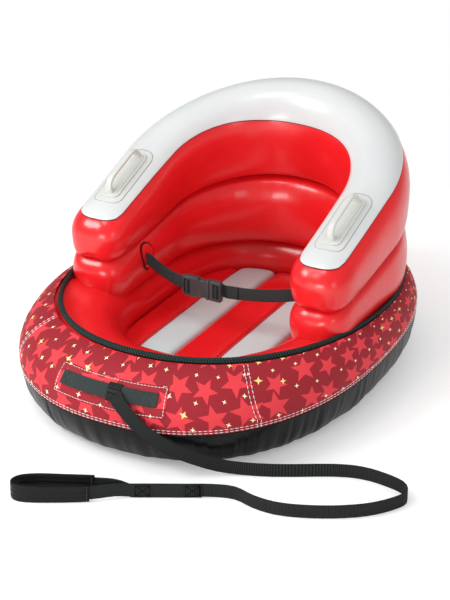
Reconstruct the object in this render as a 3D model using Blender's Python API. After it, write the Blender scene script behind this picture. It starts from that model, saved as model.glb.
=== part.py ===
"""Inflatable snow tube for a child: an oval tub in a fabric cover, a two-tier chair, a seat belt and a tow leash.

Metres, +Z up. X runs across the seat, -Y is the front and the tub rests on Z = 0.
The oval of the tub is centred on the origin.
"""

import math

import bmesh
import bpy
from mathutils import Vector
from mathutils.bvhtree import BVHTree

for leftover in list(bpy.data.objects):
    bpy.data.objects.remove(leftover, do_unlink=True)

QUARTER = math.pi / 2
TURN_STEP_SHARE = 0.01

# Clearances
SEAT_GAP = 0.0003
CREASE_GAP = 0.0008
FACET_EASE = 0.0012
LEAST_STEP = 0.0001
OVERRUN = 0.010

# Tub outline
TUB_LENGTH = 0.840
TUB_WIDTH = 0.652
TUB_POWER = 2.29
GIRTH_HEIGHT = 0.092
FOOT_INSET = 0.054

# Rim of the cover
RIM_SIDE_INSET = 0.036
RIM_FRONT_INSET = 0.0945
RIM_BACK_INSET = 0.0012
RIM_POWER = 2.12
RIM_HEIGHT = 0.146
RIM_SLOPE = -0.058
RIM_CORD_DIAMETER = 0.0078
HEM_EASE = 0.0014
HEM_THICKNESS = 0.0015
HEM_SLOT_EASE = 0.0006

# Cover: three printed panels sewn to a black dish
COVER_THICKNESS = 0.0012
DISH_THICKNESS = 0.0020
SEAM_HEIGHT = 0.0895
SEAM_SLOPE = 0.0324
PANEL_SEAM_RIM_ANGLE = math.radians(52.5)
PANEL_SEAM_GIRTH_ANGLE = math.radians(42.5)
FRONT_STEPS = 10
SIDE_STEPS = 19

# Inflated base ring
RING_SIDE_WIDTH = 0.151
RING_FRONT_WIDTH = 0.150
RING_BACK_WIDTH = 0.119
RING_BORE_POWER = 3.2
RING_WAIST_HEIGHT = 0.078
RING_CROWN_DROP = 0.0095
RING_BULGE = 0.0045

# Inflated floor of five channels; their widths are shares of the bore's
FLOOR_HEIGHT = 0.060
CENTRE_CHANNEL_SHARE = 0.2286
STRIPE_CHANNEL_SHARE = 0.2057
FLOOR_EDGE_SHARE = 0.955
FLOOR_END_RISE_SHARE = 0.75
FLOOR_END_WIDTH_SHARE = 0.94

# Chair: two tubes bent round the back, one on the other. The arms reach a share of the rim's half length
# in front of its middle, and the panel's rounded ends are shares of the arm's length.
TUBE_WIDTH = 0.118
CHAIR_SIDE_CLEARANCE = 0.0055
CHAIR_BACK_CLEARANCE = 0.010
ARM_REACH_SHARE = 0.3892
ARM_TIP_LENGTH = 0.062
ARM_TIP_POWER = 2.7
LOWER_BASE_FRONT = 0.112
LOWER_BASE_BACK = 0.113
CREASE_FRONT = 0.187
CREASE_BACK = 0.262
CREASE_TILT = 0.35
TOP_FRONT = 0.275
TOP_BACK = 0.440
TOP_RISE_POWER = 1.1
TUBE_POWER = 2.2
TUBE_PRESS = 0.006
VINYL_THICKNESS = 0.0012
PANEL_TIP_SHARE = 0.1258
PANEL_CORNER_SHARE = 0.0719
PANEL_OUTER_FRONT = math.radians(58)
PANEL_OUTER_BACK = math.radians(44)
PANEL_INNER_FRONT = math.radians(127)
PANEL_INNER_BACK = math.radians(165)

# Moulded handles: their lengths, and how far along the arm they sit, are shares of the arm's length
HANDLE_CENTRE_SHARE = 0.5671
HANDLE_PATCH_SHARE = 0.6831
HANDLE_PATCH_WIDTH = 0.052
HANDLE_BASE_SHARE = 0.5752
HANDLE_BASE_WIDTH = 0.034
HANDLE_BASE_THICKNESS = 0.0030
GRIP_SHARE = 0.4763
GRIP_CLEARANCE = 0.021
GRIP_WIDTH = 0.018
GRIP_THICKNESS = 0.0065

# Seat belt: the anchors, straps and buckle sit at shares of the arm's length from its tip
WEBBING_WIDTH = 0.025
WEBBING_THICKNESS = 0.0015
ANCHOR_LENGTH = 0.050
ANCHOR_WIDTH = 0.036
ANCHOR_EASE = 0.0007
ANCHOR_SHARE = 0.4862
ANCHOR_Z = 0.168
BELT_TOP_SHARE = 0.4502
BELT_TOP_Z = 0.172
BUCKLE_SHARE = 0.3513
BUCKLE_X = -0.0325
BUCKLE_Z = 0.151
BUCKLE_LENGTH = 0.080
BUCKLE_WIDTH = 0.040
BUCKLE_THICKNESS = 0.012
SOCKET_LENGTH = 0.056
BAR_THICKNESS = 0.004
BAR_WIDTH = 0.0035
SLOT_WIDTH = 0.0045

# Tow point
TOW_BAR_LENGTH = 0.190
TOW_BAR_HEIGHT = 0.130
TOW_BAR_BOW = 0.0045
TOW_EYE_X = 0.018

# Leash
LEASH_THICKNESS = 0.0020
SLEEVE_WALL = 0.0025

# Valves
VALVE_FLANGE_RADIUS = 0.016
VALVE_FLANGE_THICKNESS = 0.0012
VALVE_NECK_RADIUS = 0.0100
VALVE_NECK_HEIGHT = 0.0060
VALVE_BORE_RADIUS = 0.0066
VALVE_CAP_RADIUS = 0.0115
VALVE_CAP_THICKNESS = 0.0020
VALVE_PLUG_DEPTH = 0.0042
VALVE_PLUG_RADIUS = 0.0058
VALVE_PLUG_TAPER = 0.0008

# Sizes that follow from those above
HALF_LENGTH = TUB_LENGTH / 2
HALF_WIDTH = TUB_WIDTH / 2
RIM_HALF_WIDTH = HALF_WIDTH - RIM_SIDE_INSET
RIM_HALF_LENGTH = (TUB_LENGTH - RIM_FRONT_INSET - RIM_BACK_INSET) / 2
RIM_CENTRE_Y = (RIM_FRONT_INSET - RIM_BACK_INSET) / 2
RING_EASE = COVER_THICKNESS + SEAT_GAP + COVER_THICKNESS + SEAT_GAP + FACET_EASE
RING_BASE = DISH_THICKNESS + SEAT_GAP
HEM_RADIUS = RIM_CORD_DIAMETER / 2 + HEM_EASE + HEM_THICKNESS
BORE_HALF_WIDTH = HALF_WIDTH - RING_SIDE_WIDTH
BORE_HALF_LENGTH = (TUB_LENGTH - RING_FRONT_WIDTH - RING_BACK_WIDTH) / 2
BORE_CENTRE_Y = (RING_FRONT_WIDTH - RING_BACK_WIDTH) / 2
CHAIR_HALF_WIDTH = RIM_HALF_WIDTH - CHAIR_SIDE_CLEARANCE
CHAIR_BACK_Y = RIM_CENTRE_Y + RIM_HALF_LENGTH - CHAIR_BACK_CLEARANCE
TUBE_HALF_WIDTH = TUBE_WIDTH / 2
ARM_X = CHAIR_HALF_WIDTH - TUBE_HALF_WIDTH
BEND_Y = CHAIR_BACK_Y - CHAIR_HALF_WIDTH
TIP_Y = RIM_CENTRE_Y - RIM_HALF_LENGTH * ARM_REACH_SHARE
ARM_LENGTH = BEND_Y - TIP_Y
PANEL_TIP_INSET = ARM_LENGTH * PANEL_TIP_SHARE
PANEL_CORNER = ARM_LENGTH * PANEL_CORNER_SHARE
HANDLE_CENTRE = TIP_Y + ARM_LENGTH * HANDLE_CENTRE_SHARE
HANDLE_PATCH_LENGTH = ARM_LENGTH * HANDLE_PATCH_SHARE
HANDLE_BASE_LENGTH = ARM_LENGTH * HANDLE_BASE_SHARE
GRIP_LENGTH = ARM_LENGTH * GRIP_SHARE
ANCHOR_Y = TIP_Y + ARM_LENGTH * ANCHOR_SHARE
BELT_TOP_Y = TIP_Y + ARM_LENGTH * BELT_TOP_SHARE
BELT_Y = TIP_Y + ARM_LENGTH * BUCKLE_SHARE
BACK_Y = BEND_Y + ARM_X


# Finishes


def finish(name, colour, roughness, metallic=0.0):
    made = bpy.data.materials.new(name)
    made.use_nodes = True
    shader = made.node_tree.nodes["Principled BSDF"]
    shader.inputs["Base Color"].default_value = (*colour, 1)
    shader.inputs["Roughness"].default_value = roughness
    shader.inputs["Metallic"].default_value = metallic
    made.diffuse_color = (*colour, 1)
    return made


RED_VINYL = finish("red_vinyl", (0.76, 0.010, 0.012), 0.25)
WHITE_VINYL = finish("white_vinyl", (0.86, 0.86, 0.86), 0.25)
MOULDED_WHITE = finish("moulded_white", (0.74, 0.75, 0.73), 0.4)
PRINTED_CLOTH = finish("printed_cloth", (0.50, 0.03, 0.05), 0.6)
BLACK_CLOTH = finish("black_cloth", (0.028, 0.026, 0.027), 0.5)
HEM_TAPE = finish("hem_tape", (0.020, 0.028, 0.028), 0.7)
WEBBING = finish("webbing", (0.018, 0.019, 0.020), 0.8)
BUCKLE_PLASTIC = finish("buckle_plastic", (0.045, 0.045, 0.047), 0.45)
VALVE_VINYL = finish("valve_vinyl", (0.80, 0.80, 0.80), 0.35)


# Making solids


def add_object(name, made, material, origin=Vector()):
    """Turns a bmesh in world places into an object whose origin is at the given point."""
    bmesh.ops.recalc_face_normals(made, faces=made.faces)
    bmesh.ops.translate(made, verts=made.verts, vec=-origin)
    mesh = bpy.data.meshes.new(name)
    made.to_mesh(mesh)
    made.free()
    mesh.materials.append(material)
    mesh.shade_smooth()
    mesh.set_sharp_from_angle(angle=math.radians(40))
    part = bpy.data.objects.new(name, mesh)
    part.location = origin
    bpy.context.scene.collection.objects.link(part)
    return part


def loft(rings, closed=False):
    """A solid through a row of point rings. A closed row joins up with itself, an open one is capped."""
    made = bmesh.new()
    rows = [[made.verts.new(point) for point in ring] for ring in rings]
    size = len(rows[0])
    pairs = list(zip(rows, rows[1:] + rows[:1])) if closed else list(zip(rows, rows[1:]))
    for one, two in pairs:
        for i in range(size):
            j = (i + 1) % size
            made.faces.new((one[i], one[j], two[j], two[i]))
    if not closed:
        made.faces.new(rows[0])
        made.faces.new(rows[-1])
    return made


def slab(outer, inner):
    """A thin solid between two open grids of points that match each other, its quads split the same way."""
    made = bmesh.new()
    tops = [[made.verts.new(point) for point in row] for row in outer]
    lows = [[made.verts.new(point) for point in row] for row in inner]
    for i in range(len(tops) - 1):
        for j in range(len(tops[i]) - 1):
            made.faces.new((tops[i][j], tops[i][j + 1], tops[i + 1][j + 1], tops[i + 1][j]))
            made.faces.new((lows[i][j], lows[i + 1][j], lows[i + 1][j + 1], lows[i][j + 1]))
    for i in range(len(tops) - 1):
        for j in (0, -1):
            made.faces.new((tops[i][j], tops[i + 1][j], lows[i + 1][j], lows[i][j]))
    for i in (0, -1):
        for j in range(len(tops[i]) - 1):
            made.faces.new((tops[i][j], tops[i][j + 1], lows[i][j + 1], lows[i][j]))
    return made


def cut(part, cutters, operation="DIFFERENCE"):
    """Cuts an object with hidden helpers, in the order given."""
    for cutter in cutters:
        cutter.hide_render = True
        cutter.display_type = "WIRE"
        step = part.modifiers.new(cutter.name, "BOOLEAN")
        step.operation = operation
        step.solver = "EXACT"
        step.object = cutter


def block(name, low, high, material, bevel=0.0, segments=2):
    """A box between two corners, with its edges rounded by a bevel."""
    made = bmesh.new()
    bmesh.ops.create_cube(made, size=1)
    size = Vector(high) - Vector(low)
    centre = (Vector(high) + Vector(low)) / 2
    bmesh.ops.scale(made, verts=made.verts, vec=size)
    if bevel:
        bmesh.ops.bevel(made, geom=made.edges[:], offset=bevel, segments=segments, affect="EDGES", profile=0.5)
    bmesh.ops.translate(made, verts=made.verts, vec=centre)
    return add_object(name, made, material, centre)


def outline_prism(name, outline, direction, reach):
    """A helper prism: an outline pushed along a direction, both ways."""
    push = direction.normalized() * reach
    return add_object(name, loft([[p - push for p in outline], [p + push for p in outline]]), MOULDED_WHITE)


def rounded_oblong(length, width, corner, steps=4):
    """Corners of a rounded rectangle in its own plane, as (along, across) pairs."""
    points = []
    for index, (sx, sy) in enumerate(((1, 1), (-1, 1), (-1, -1), (1, -1))):
        for step in range(steps + 1):
            turn = QUARTER * (index + step / steps)
            along = sx * (length / 2 - corner) + corner * math.cos(turn)
            across = sy * (width / 2 - corner) + corner * math.sin(turn)
            points.append((along, across))
    return points


def smooth_route(points, per_span):
    """Points of a smooth curve through the route's own points."""
    knots = [2 * points[0] - points[1]] + list(points) + [2 * points[-1] - points[-2]]
    route = []
    for i in range(1, len(knots) - 2):
        before, start, end, after = knots[i - 1:i + 3]
        for step in range(per_span):
            t = step / per_span
            bend = (2 * before - 5 * start + 4 * end - after) * t * t
            twist = (3 * start - 3 * end + after - before) * t * t * t
            route.append((2 * start + (end - before) * t + bend + twist) / 2)
    route.append(points[-1].copy())
    return route


def tangents(route, closed=False):
    count = len(route)
    found = []
    for i in range(count):
        ahead = route[(i + 1) % count] if closed else route[min(i + 1, count - 1)]
        behind = route[i - 1] if closed else route[max(i - 1, 0)]
        found.append((ahead - behind).normalized())
    return found


def side_of(tangent, lean=Vector((0, -1, 0)), share=1.0):
    """The way a standing strap's face looks: level and square to its run, or towards lean where share is 0."""
    level = Vector((tangent.y, -tangent.x, 0))
    if level.length:
        level.normalize()
    face = lean * (1 - share) + level * share
    return (face - tangent * face.dot(tangent)).normalized()


def strap_rings(route, faces, width, thickness, closed=False):
    """Sections of a flat strap along a route; each face direction is square to the strap's flat side."""
    rings = []
    for point, tangent, face in zip(route, tangents(route, closed), faces):
        across = tangent.cross(face).normalized() * width / 2
        through = face * thickness / 2
        rings.append([
            point + across + through,
            point - across + through,
            point - across - through,
            point + across - through,
        ])
    return rings


# Shape of the tub


def superellipse(half_x, half_y, power, angle):
    c = math.cos(angle)
    s = math.sin(angle)
    x = half_x * math.copysign(abs(c) ** (2 / power), c)
    y = half_y * math.copysign(abs(s) ** (2 / power), s)
    return Vector((x, y, 0))


def girth_point(angle):
    point = superellipse(HALF_WIDTH, HALF_LENGTH, TUB_POWER, angle)
    point.z = GIRTH_HEIGHT
    return point


def foot_point(angle):
    return superellipse(HALF_WIDTH - FOOT_INSET, HALF_LENGTH - FOOT_INSET, TUB_POWER, angle)


def bore_point(angle, grow=0.0):
    point = superellipse(BORE_HALF_WIDTH - grow, BORE_HALF_LENGTH - grow, RING_BORE_POWER, angle)
    point.y += BORE_CENTRE_Y
    point.z = RING_WAIST_HEIGHT
    return point


def rim_point(angle):
    point = superellipse(RIM_HALF_WIDTH, RIM_HALF_LENGTH, RIM_POWER, angle)
    point.z = RIM_HEIGHT + RIM_SLOPE * point.y
    point.y += RIM_CENTRE_Y
    return point


def cover_point(angle, turn):
    """A point of the cover's outer face. Turn 0 is the rim, 1 the girth and 2 the foot."""
    girth = girth_point(angle)
    if turn <= 1:
        rim = rim_point(angle)
        point = rim.lerp(girth, math.sin(turn * QUARTER))
        point.z = girth.z + (rim.z - girth.z) * math.cos(turn * QUARTER)
        return point
    point = foot_point(angle).lerp(girth, math.cos((turn - 1) * QUARTER))
    point.z = girth.z * (1 - math.sin((turn - 1) * QUARTER))
    return point


def cover_normal(angle, turn):
    step = TURN_STEP_SHARE
    along = cover_point(angle + step, turn) - cover_point(angle - step, turn)
    down = cover_point(angle, min(turn + step, 2)) - cover_point(angle, max(turn - step, 0))
    return down.cross(along).normalized()


def tub_angles(seam_angle):
    """Angles of the stations round the tub, from the back centre by the left, with a station on each seam."""
    left_seam = -math.pi + seam_angle
    right_seam = -seam_angle
    runs = (
        (-3 * QUARTER, left_seam, SIDE_STEPS),
        (left_seam, right_seam, FRONT_STEPS),
        (right_seam, QUARTER, SIDE_STEPS),
    )
    angles = []
    for start, end, steps in runs:
        angles += [start + (end - start) * i / steps for i in range(steps)]
    return angles


RIM_ANGLES = tub_angles(PANEL_SEAM_RIM_ANGLE)
GIRTH_ANGLES = tub_angles(PANEL_SEAM_GIRTH_ANGLE)
STATIONS = len(RIM_ANGLES)
LEFT_SEAM = SIDE_STEPS
RIGHT_SEAM = SIDE_STEPS + FRONT_STEPS
FRONT_CENTRE = SIDE_STEPS + FRONT_STEPS // 2


def station_angle(station, turn):
    """The stations slant from the rim to the girth as the seams between the panels do."""
    share = min(turn, 1)
    return RIM_ANGLES[station % STATIONS] * (1 - share) + GIRTH_ANGLES[station % STATIONS] * share


def cover_face(station, turn, depth):
    """A point this deep under the cover's outer face."""
    angle = station_angle(station, turn)
    return cover_point(angle, turn) - cover_normal(angle, turn) * depth


def turn_at_height(station, height):
    rim = rim_point(RIM_ANGLES[station % STATIONS]).z
    if height >= GIRTH_HEIGHT:
        share = min((height - GIRTH_HEIGHT) / (rim - GIRTH_HEIGHT), 1)
        return math.acos(share) / QUARTER
    return 1 + math.asin(1 - max(height, 0) / GIRTH_HEIGHT) / QUARTER


def seam_turn(station):
    """Where the printed panels meet the black dish."""
    angle = GIRTH_ANGLES[station % STATIONS]
    return turn_at_height(station, SEAM_HEIGHT + SEAM_SLOPE * (girth_point(angle).y - RIM_CENTRE_Y))


def turn_at_distance(station, distance):
    """The turn at which the cover is this far from the rim's own line."""
    low = 0.0
    high = 1.0
    rim = rim_point(RIM_ANGLES[station % STATIONS])
    for _ in range(24):
        middle = (low + high) / 2
        if (cover_face(station, middle, 0) - rim).length < distance:
            low = middle
        else:
            high = middle
    return high


# Cover panels: printed cloth, sewn to each other at the side seams and the back

PANEL_ROWS = 6


def panel_turns(station):
    start = turn_at_distance(station, RIM_CORD_DIAMETER / 2 + HEM_EASE + SEAT_GAP)
    down = cover_point(GIRTH_ANGLES[station % STATIONS], 1) - cover_face(station, start, 0)
    end = seam_turn(station) - SEAT_GAP / 2 / down.length
    return [start + (end - start) * row / PANEL_ROWS for row in range(PANEL_ROWS + 1)]


def panel_grids(first, last, thickness):
    """Outer and inner grids of the panel between two stations, drawn in by half a gap at its seams."""
    grids = []
    for depth in (0, thickness):
        rows = []
        for station in range(first, last + 1):
            rows.append([cover_face(station, turn, depth) for turn in panel_turns(station)])
        for edge, inside in ((0, 1), (-1, -2)):
            for i, point in enumerate(rows[edge]):
                point += (rows[inside][i] - point).normalized() * SEAT_GAP / 2
        grids.append(rows)
    return grids


PANELS = (
    ("cover_left_panel", 0, LEFT_SEAM),
    ("cover_front_panel", LEFT_SEAM, RIGHT_SEAM),
    ("cover_right_panel", RIGHT_SEAM, STATIONS),
)
for panel_name, first_station, last_station in PANELS:
    outer_grid, inner_grid = panel_grids(first_station, last_station, COVER_THICKNESS)
    add_object(panel_name, slab(outer_grid, inner_grid), PRINTED_CLOTH)


# Cover bottom: a black dish that slides on the snow

DISH_ROWS = 5
dish_rings = []
for depth in (DISH_THICKNESS, 0):
    rows = []
    for row in range(DISH_ROWS + 1):
        ring = []
        for station in range(STATIONS):
            top = seam_turn(station) + SEAT_GAP / 2 / GIRTH_HEIGHT
            turn = top + (2 - top) * row / DISH_ROWS
            point = cover_face(station, turn, depth)
            if row == DISH_ROWS:
                point.z = depth
            ring.append(point)
        rows.append(ring)
    dish_rings += reversed(rows) if depth else rows
add_object("cover_bottom", loft(dish_rings), BLACK_CLOTH)


# Rim hem: a folded tape that holds the elastic cord and grips the panels' top edge

HEM_POINTS = 9


def rim_frame(station):
    """Centre of the hem, the way its slot looks and the way square to that, all in the hem's section."""
    turn = turn_at_distance(station, RIM_CORD_DIAMETER / 2 + HEM_EASE + SEAT_GAP)
    angle = station_angle(station, turn)
    centre = rim_point(RIM_ANGLES[station % STATIONS]) - cover_normal(angle, turn) * COVER_THICKNESS / 2
    slot = (cover_face(station, turn, COVER_THICKNESS / 2) - centre).normalized()
    rim_angle = RIM_ANGLES[station % STATIONS]
    around = rim_point(rim_angle + TURN_STEP_SHARE) - rim_point(rim_angle - TURN_STEP_SHARE)
    square = around.cross(slot).normalized()
    return centre, slot, square


def hem_section(station):
    centre, slot, square = rim_frame(station)
    points = []
    for radius, reverse in ((HEM_RADIUS, False), (HEM_RADIUS - HEM_THICKNESS, True)):
        half_slot = math.asin((COVER_THICKNESS / 2 + HEM_SLOT_EASE) / radius)
        sweep = 2 * (math.pi - half_slot)
        turns = [half_slot + sweep * i / (HEM_POINTS - 1) for i in range(HEM_POINTS)]
        for turn in reversed(turns) if reverse else turns:
            points.append(centre + (slot * math.cos(turn) + square * math.sin(turn)) * radius)
    return points


def rim_rings(radius, points):
    rings = []
    for station in range(STATIONS):
        centre, slot, square = rim_frame(station)
        turns = [2 * math.pi * i / points for i in range(points)]
        rings.append([centre + (slot * math.cos(t) + square * math.sin(t)) * radius for t in turns])
    return rings


add_object("rim_hem", loft([hem_section(s) for s in range(STATIONS)], closed=True), HEM_TAPE)
add_object("rim_elastic_cord", loft(rim_rings(RIM_CORD_DIAMETER / 2, 8), closed=True), BLACK_CLOTH)


# Base ring: the main air chamber, inside the cover

RING_UPPER_ROWS = 4
RING_LOWER_ROWS = 4
RING_BORE_ROWS = 4
RING_FOOT_SHARE = 0.5
RING_SHOULDER_SHARE = 0.8
RING_LAST_TURN = 1.9


def ring_section(station, grow=0.0):
    rim = rim_point(RIM_ANGLES[station % STATIONS])
    crown = rim.z - RING_CROWN_DROP + grow
    start = turn_at_height(station, crown)
    depth = RING_EASE - grow
    points = []
    for row in range(RING_UPPER_ROWS + 1):
        points.append(cover_face(station, start + (1 - start) * row / RING_UPPER_ROWS, depth))
    for row in range(1, RING_LOWER_ROWS + 1):
        points.append(cover_face(station, 1 + (RING_LAST_TURN - 1) * row / RING_LOWER_ROWS, depth))
    angle = GIRTH_ANGLES[station % STATIONS]
    base = RING_BASE - grow
    foot = foot_point(angle)
    foot.z = base
    points.append(foot)
    bore = bore_point(angle, grow)
    heel = bore.lerp(foot, RING_FOOT_SHARE)
    for row in range(RING_BORE_ROWS):
        turn = QUARTER * row / RING_BORE_ROWS
        point = heel.lerp(bore, math.sin(turn))
        point.z = base + (bore.z - base) * (1 - math.cos(turn))
        points.append(point)
    middle = bore.lerp(girth_point(angle), 0.5)
    top = crown + RING_BULGE * ((1 + math.sin(angle)) / 2) ** 2
    for row in range(RING_BORE_ROWS + 1):
        turn = QUARTER * row / RING_BORE_ROWS
        point = middle.lerp(bore, math.cos(turn))
        point.z = bore.z + (top - bore.z) * math.sin(turn)
        points.append(point)
    shoulder = points[0].lerp(points[-1], 0.5)
    shoulder.z = crown + (top - crown) * RING_SHOULDER_SHARE
    points.append(shoulder)
    return points


add_object("base_ring", loft([ring_section(s) for s in range(STATIONS)], closed=True), RED_VINYL)


# Floor: five channels side by side, each an air pillow that follows the bore at its ends

CHANNEL_POWER = 4.0
CHANNEL_END_POWER = 6
CHANNEL_POINTS = 12
CHANNEL_STATION_SHARES = (0.0, 0.03, 0.10, 0.25, 0.50, 0.75, 0.90, 0.97, 1.0)


def bore_reach(x, side):
    """Where the bore's outline crosses this x, at the front or at the back."""
    share = min(abs(x) / BORE_HALF_WIDTH, 1)
    return BORE_CENTRE_Y + side * BORE_HALF_LENGTH * (1 - share ** RING_BORE_POWER) ** (1 / RING_BORE_POWER)


def channel_rings(left, right):
    middle = (left + right) / 2
    half = (right - left) / 2 - SEAT_GAP / 2
    rings = []
    for share in CHANNEL_STATION_SHARES:
        swell = (1 - abs(2 * share - 1) ** CHANNEL_END_POWER) ** 0.5
        rise = FLOOR_END_RISE_SHARE + (1 - FLOOR_END_RISE_SHARE) * swell
        draw = FLOOR_END_WIDTH_SHARE + (1 - FLOOR_END_WIDTH_SHARE) * swell
        ring = []
        for i in range(CHANNEL_POINTS):
            turn = 2 * math.pi * (i + 0.5) / CHANNEL_POINTS
            point = superellipse(half * draw, FLOOR_HEIGHT / 2 * rise, CHANNEL_POWER, turn)
            x = middle + point.x
            front = bore_reach(x, -1) + RING_EASE
            back = bore_reach(x, 1) - RING_EASE
            y = front + (back - front) * share
            ring.append(Vector((x, y, RING_BASE + FLOOR_HEIGHT / 2 + point.y)))
        rings.append(ring)
    return rings


channel_edges = [BORE_HALF_WIDTH * CENTRE_CHANNEL_SHARE]
channel_edges.append(channel_edges[0] + 2 * BORE_HALF_WIDTH * STRIPE_CHANNEL_SHARE)
channel_edges.append(BORE_HALF_WIDTH * FLOOR_EDGE_SHARE)
CHANNELS = (
    ("floor_side_left", -channel_edges[2], -channel_edges[1], RED_VINYL),
    ("floor_stripe_left", -channel_edges[1], -channel_edges[0], WHITE_VINYL),
    ("floor_centre", -channel_edges[0], channel_edges[0], RED_VINYL),
    ("floor_stripe_right", channel_edges[0], channel_edges[1], WHITE_VINYL),
    ("floor_side_right", channel_edges[1], channel_edges[2], RED_VINYL),
)
for channel_name, left_edge, right_edge, channel_material in CHANNELS:
    add_object(channel_name, loft(channel_rings(left_edge, right_edge)), channel_material)


# Chair tubes: a U in plan, level with the arms' tips in front and rising to the back

TIP_SHARES = (0.004, 0.05, 0.15, 0.30)
PANEL_TIP_SHARES = (0, 0.12, 0.45, 1)
ARM_STEPS = 5
BEND_STEPS = 20
OUTER_STEPS = 3
CROWN_STEPS = 6
INNER_STEPS = 3
UNDER_STEPS = 10


def arm_places():
    """Places along an arm from its tip: the end's rounding, the panel's rounded end and the straight run."""
    tip = [TIP_Y + ARM_TIP_LENGTH * share for share in TIP_SHARES]
    panel = [TIP_Y + PANEL_TIP_INSET + PANEL_CORNER * share for share in PANEL_TIP_SHARES]
    start = TIP_Y + ARM_TIP_LENGTH
    straight = [start + (BEND_Y - start) * step / ARM_STEPS for step in range(ARM_STEPS)]
    return sorted([y for y in tip if y < panel[0] - SEAT_GAP] + [panel[0] - SEAT_GAP] + panel + straight)


def end_scale(y):
    share = min((y - TIP_Y) / ARM_TIP_LENGTH, 1)
    return (1 - (1 - share) ** ARM_TIP_POWER) ** (1 / ARM_TIP_POWER)


def chair_stations():
    """Plan centre, outward direction and end scale of each section, from the left tip to the right tip."""
    stations = [(Vector((-ARM_X, y, 0)), Vector((-1, 0, 0)), end_scale(y)) for y in arm_places()]
    for step in range(BEND_STEPS + 1):
        turn = math.pi - math.pi * step / BEND_STEPS
        outward = Vector((math.cos(turn), math.sin(turn), 0))
        stations.append((Vector((0, BEND_Y, 0)) + outward * ARM_X, outward, 1.0))
    for y in reversed(arm_places()):
        stations.append((Vector((ARM_X, y, 0)), Vector((1, 0, 0)), end_scale(y)))
    return stations


def rise_share(y):
    return min(max((y - TIP_Y) / (BACK_Y - TIP_Y), 0), 1)


def crease_height(y, out=0.0):
    """Height of the crease between the tubes. It climbs from the seat side to the outer side."""
    share = rise_share(y)
    return CREASE_FRONT + (CREASE_BACK - CREASE_FRONT) * share + CREASE_TILT * share ** 0.5 * out


def lower_base(y):
    return LOWER_BASE_FRONT + (LOWER_BASE_BACK - LOWER_BASE_FRONT) * rise_share(y)


def top_height(y):
    return TOP_FRONT + (TOP_BACK - TOP_FRONT) * rise_share(y) ** TOP_RISE_POWER


def tube_point(station, turn, tier, depth=0.0):
    """A point of a chair tube's section, this deep under its skin. Turn 0 looks out and pi into the seat."""
    centre, outward, scale = station
    crease = crease_height(centre.y)
    if tier == "lower":
        low = lower_base(centre.y)
        high = crease + TUBE_PRESS
    else:
        low = crease - TUBE_PRESS
        high = top_height(centre.y)
    half_height = (high - low) / 2
    flat = superellipse(TUBE_HALF_WIDTH - depth, half_height - depth, TUBE_POWER, turn)
    z = (low + high) / 2 + flat.y * scale
    join = crease_height(centre.y, flat.x * scale)
    if tier == "lower":
        z = min(z, join - CREASE_GAP / 2)
    else:
        z = max(z, join + CREASE_GAP / 2)
    point = centre + outward * flat.x * scale
    point.z = z
    return point


def steps_between(start, end, steps):
    return [start + (end - start) * step / steps for step in range(steps + 1)]


def panel_edges(station):
    """Section angles of the white panel's outer and inner edges. Its two ends have rounded corners."""
    y = station[0].y
    share = rise_share(y)
    outer = PANEL_OUTER_FRONT + (PANEL_OUTER_BACK - PANEL_OUTER_FRONT) * share
    inner = PANEL_INNER_FRONT + (PANEL_INNER_BACK - PANEL_INNER_FRONT) * share ** 3
    run = min(max((y - TIP_Y - PANEL_TIP_INSET) / PANEL_CORNER, 0), 1)
    middle = (outer + inner) / 2
    width_share = 0.5 + 0.5 * (1 - (1 - run) ** 2) ** 0.5
    return middle + (outer - middle) * width_share, middle + (inner - middle) * width_share


def whole_section(station, tier, crown_depth=0.0):
    """A closed section of a tube. Under the panel it lies deeper, with a step at each of the panel's edges."""
    outer, inner = panel_edges(station)
    turns = steps_between(0, outer, OUTER_STEPS)
    points = [tube_point(station, turn, tier) for turn in turns]
    points += [tube_point(station, turn, tier, crown_depth) for turn in steps_between(outer, inner, CROWN_STEPS)]
    turns = steps_between(inner, math.pi, INNER_STEPS) + steps_between(math.pi, 2 * math.pi, UNDER_STEPS)[1:-1]
    return points + [tube_point(station, turn, tier) for turn in turns]


def round_section(station, tier):
    turns = steps_between(0, 2 * math.pi, 2 * UNDER_STEPS)[:-1]
    return [tube_point(station, turn, tier) for turn in turns]


CHAIR = chair_stations()
lower_tube = add_object("back_tube_lower", loft([round_section(s, "lower") for s in CHAIR]), RED_VINYL)
ring_cutter = add_object(
    "ring_cutter",
    loft([ring_section(s, SEAT_GAP) for s in range(STATIONS)], closed=True),
    RED_VINYL,
)
hem_cutter = add_object("hem_cutter", loft(rim_rings(HEM_RADIUS + CREASE_GAP, 12), closed=True), HEM_TAPE)
cut(lower_tube, (ring_cutter, hem_cutter))

# Upper tube, stepped down where the white top panel lies flush in it

PANEL_STEP = VINYL_THICKNESS + SEAT_GAP
panel_front = TIP_Y + PANEL_TIP_INSET


def covered(station):
    return station[0].y >= panel_front - SEAT_GAP / 2


upper_sections = [whole_section(s, "upper", PANEL_STEP if covered(s) else LEAST_STEP) for s in CHAIR]
add_object("back_tube_upper", loft(upper_sections), RED_VINYL)


def crown_grids(stations, lift, thickness):
    """Outer and inner grids of a skin on the tube's crown, lifted above it, between the panel's edges."""
    grids = []
    for depth in (-lift, thickness - lift):
        rows = []
        for station in stations:
            outer, inner = panel_edges(station)
            rows.append([
                tube_point(station, turn, "upper", depth)
                for turn in steps_between(outer, inner, CROWN_STEPS)
            ])
        grids.append(rows)
    return grids


panel_stations = [s for s in CHAIR if covered(s)]
top_grids = crown_grids(panel_stations, 0, VINYL_THICKNESS)
for rows in top_grids:
    for row in rows:
        for edge, inside in ((0, 1), (-1, -2)):
            row[edge] += (row[inside] - row[edge]).normalized() * SEAT_GAP
add_object("top_panel", slab(*top_grids), WHITE_VINYL)


# Handles: a welded patch, and on it a moulding with a base and an arched grip

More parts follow.
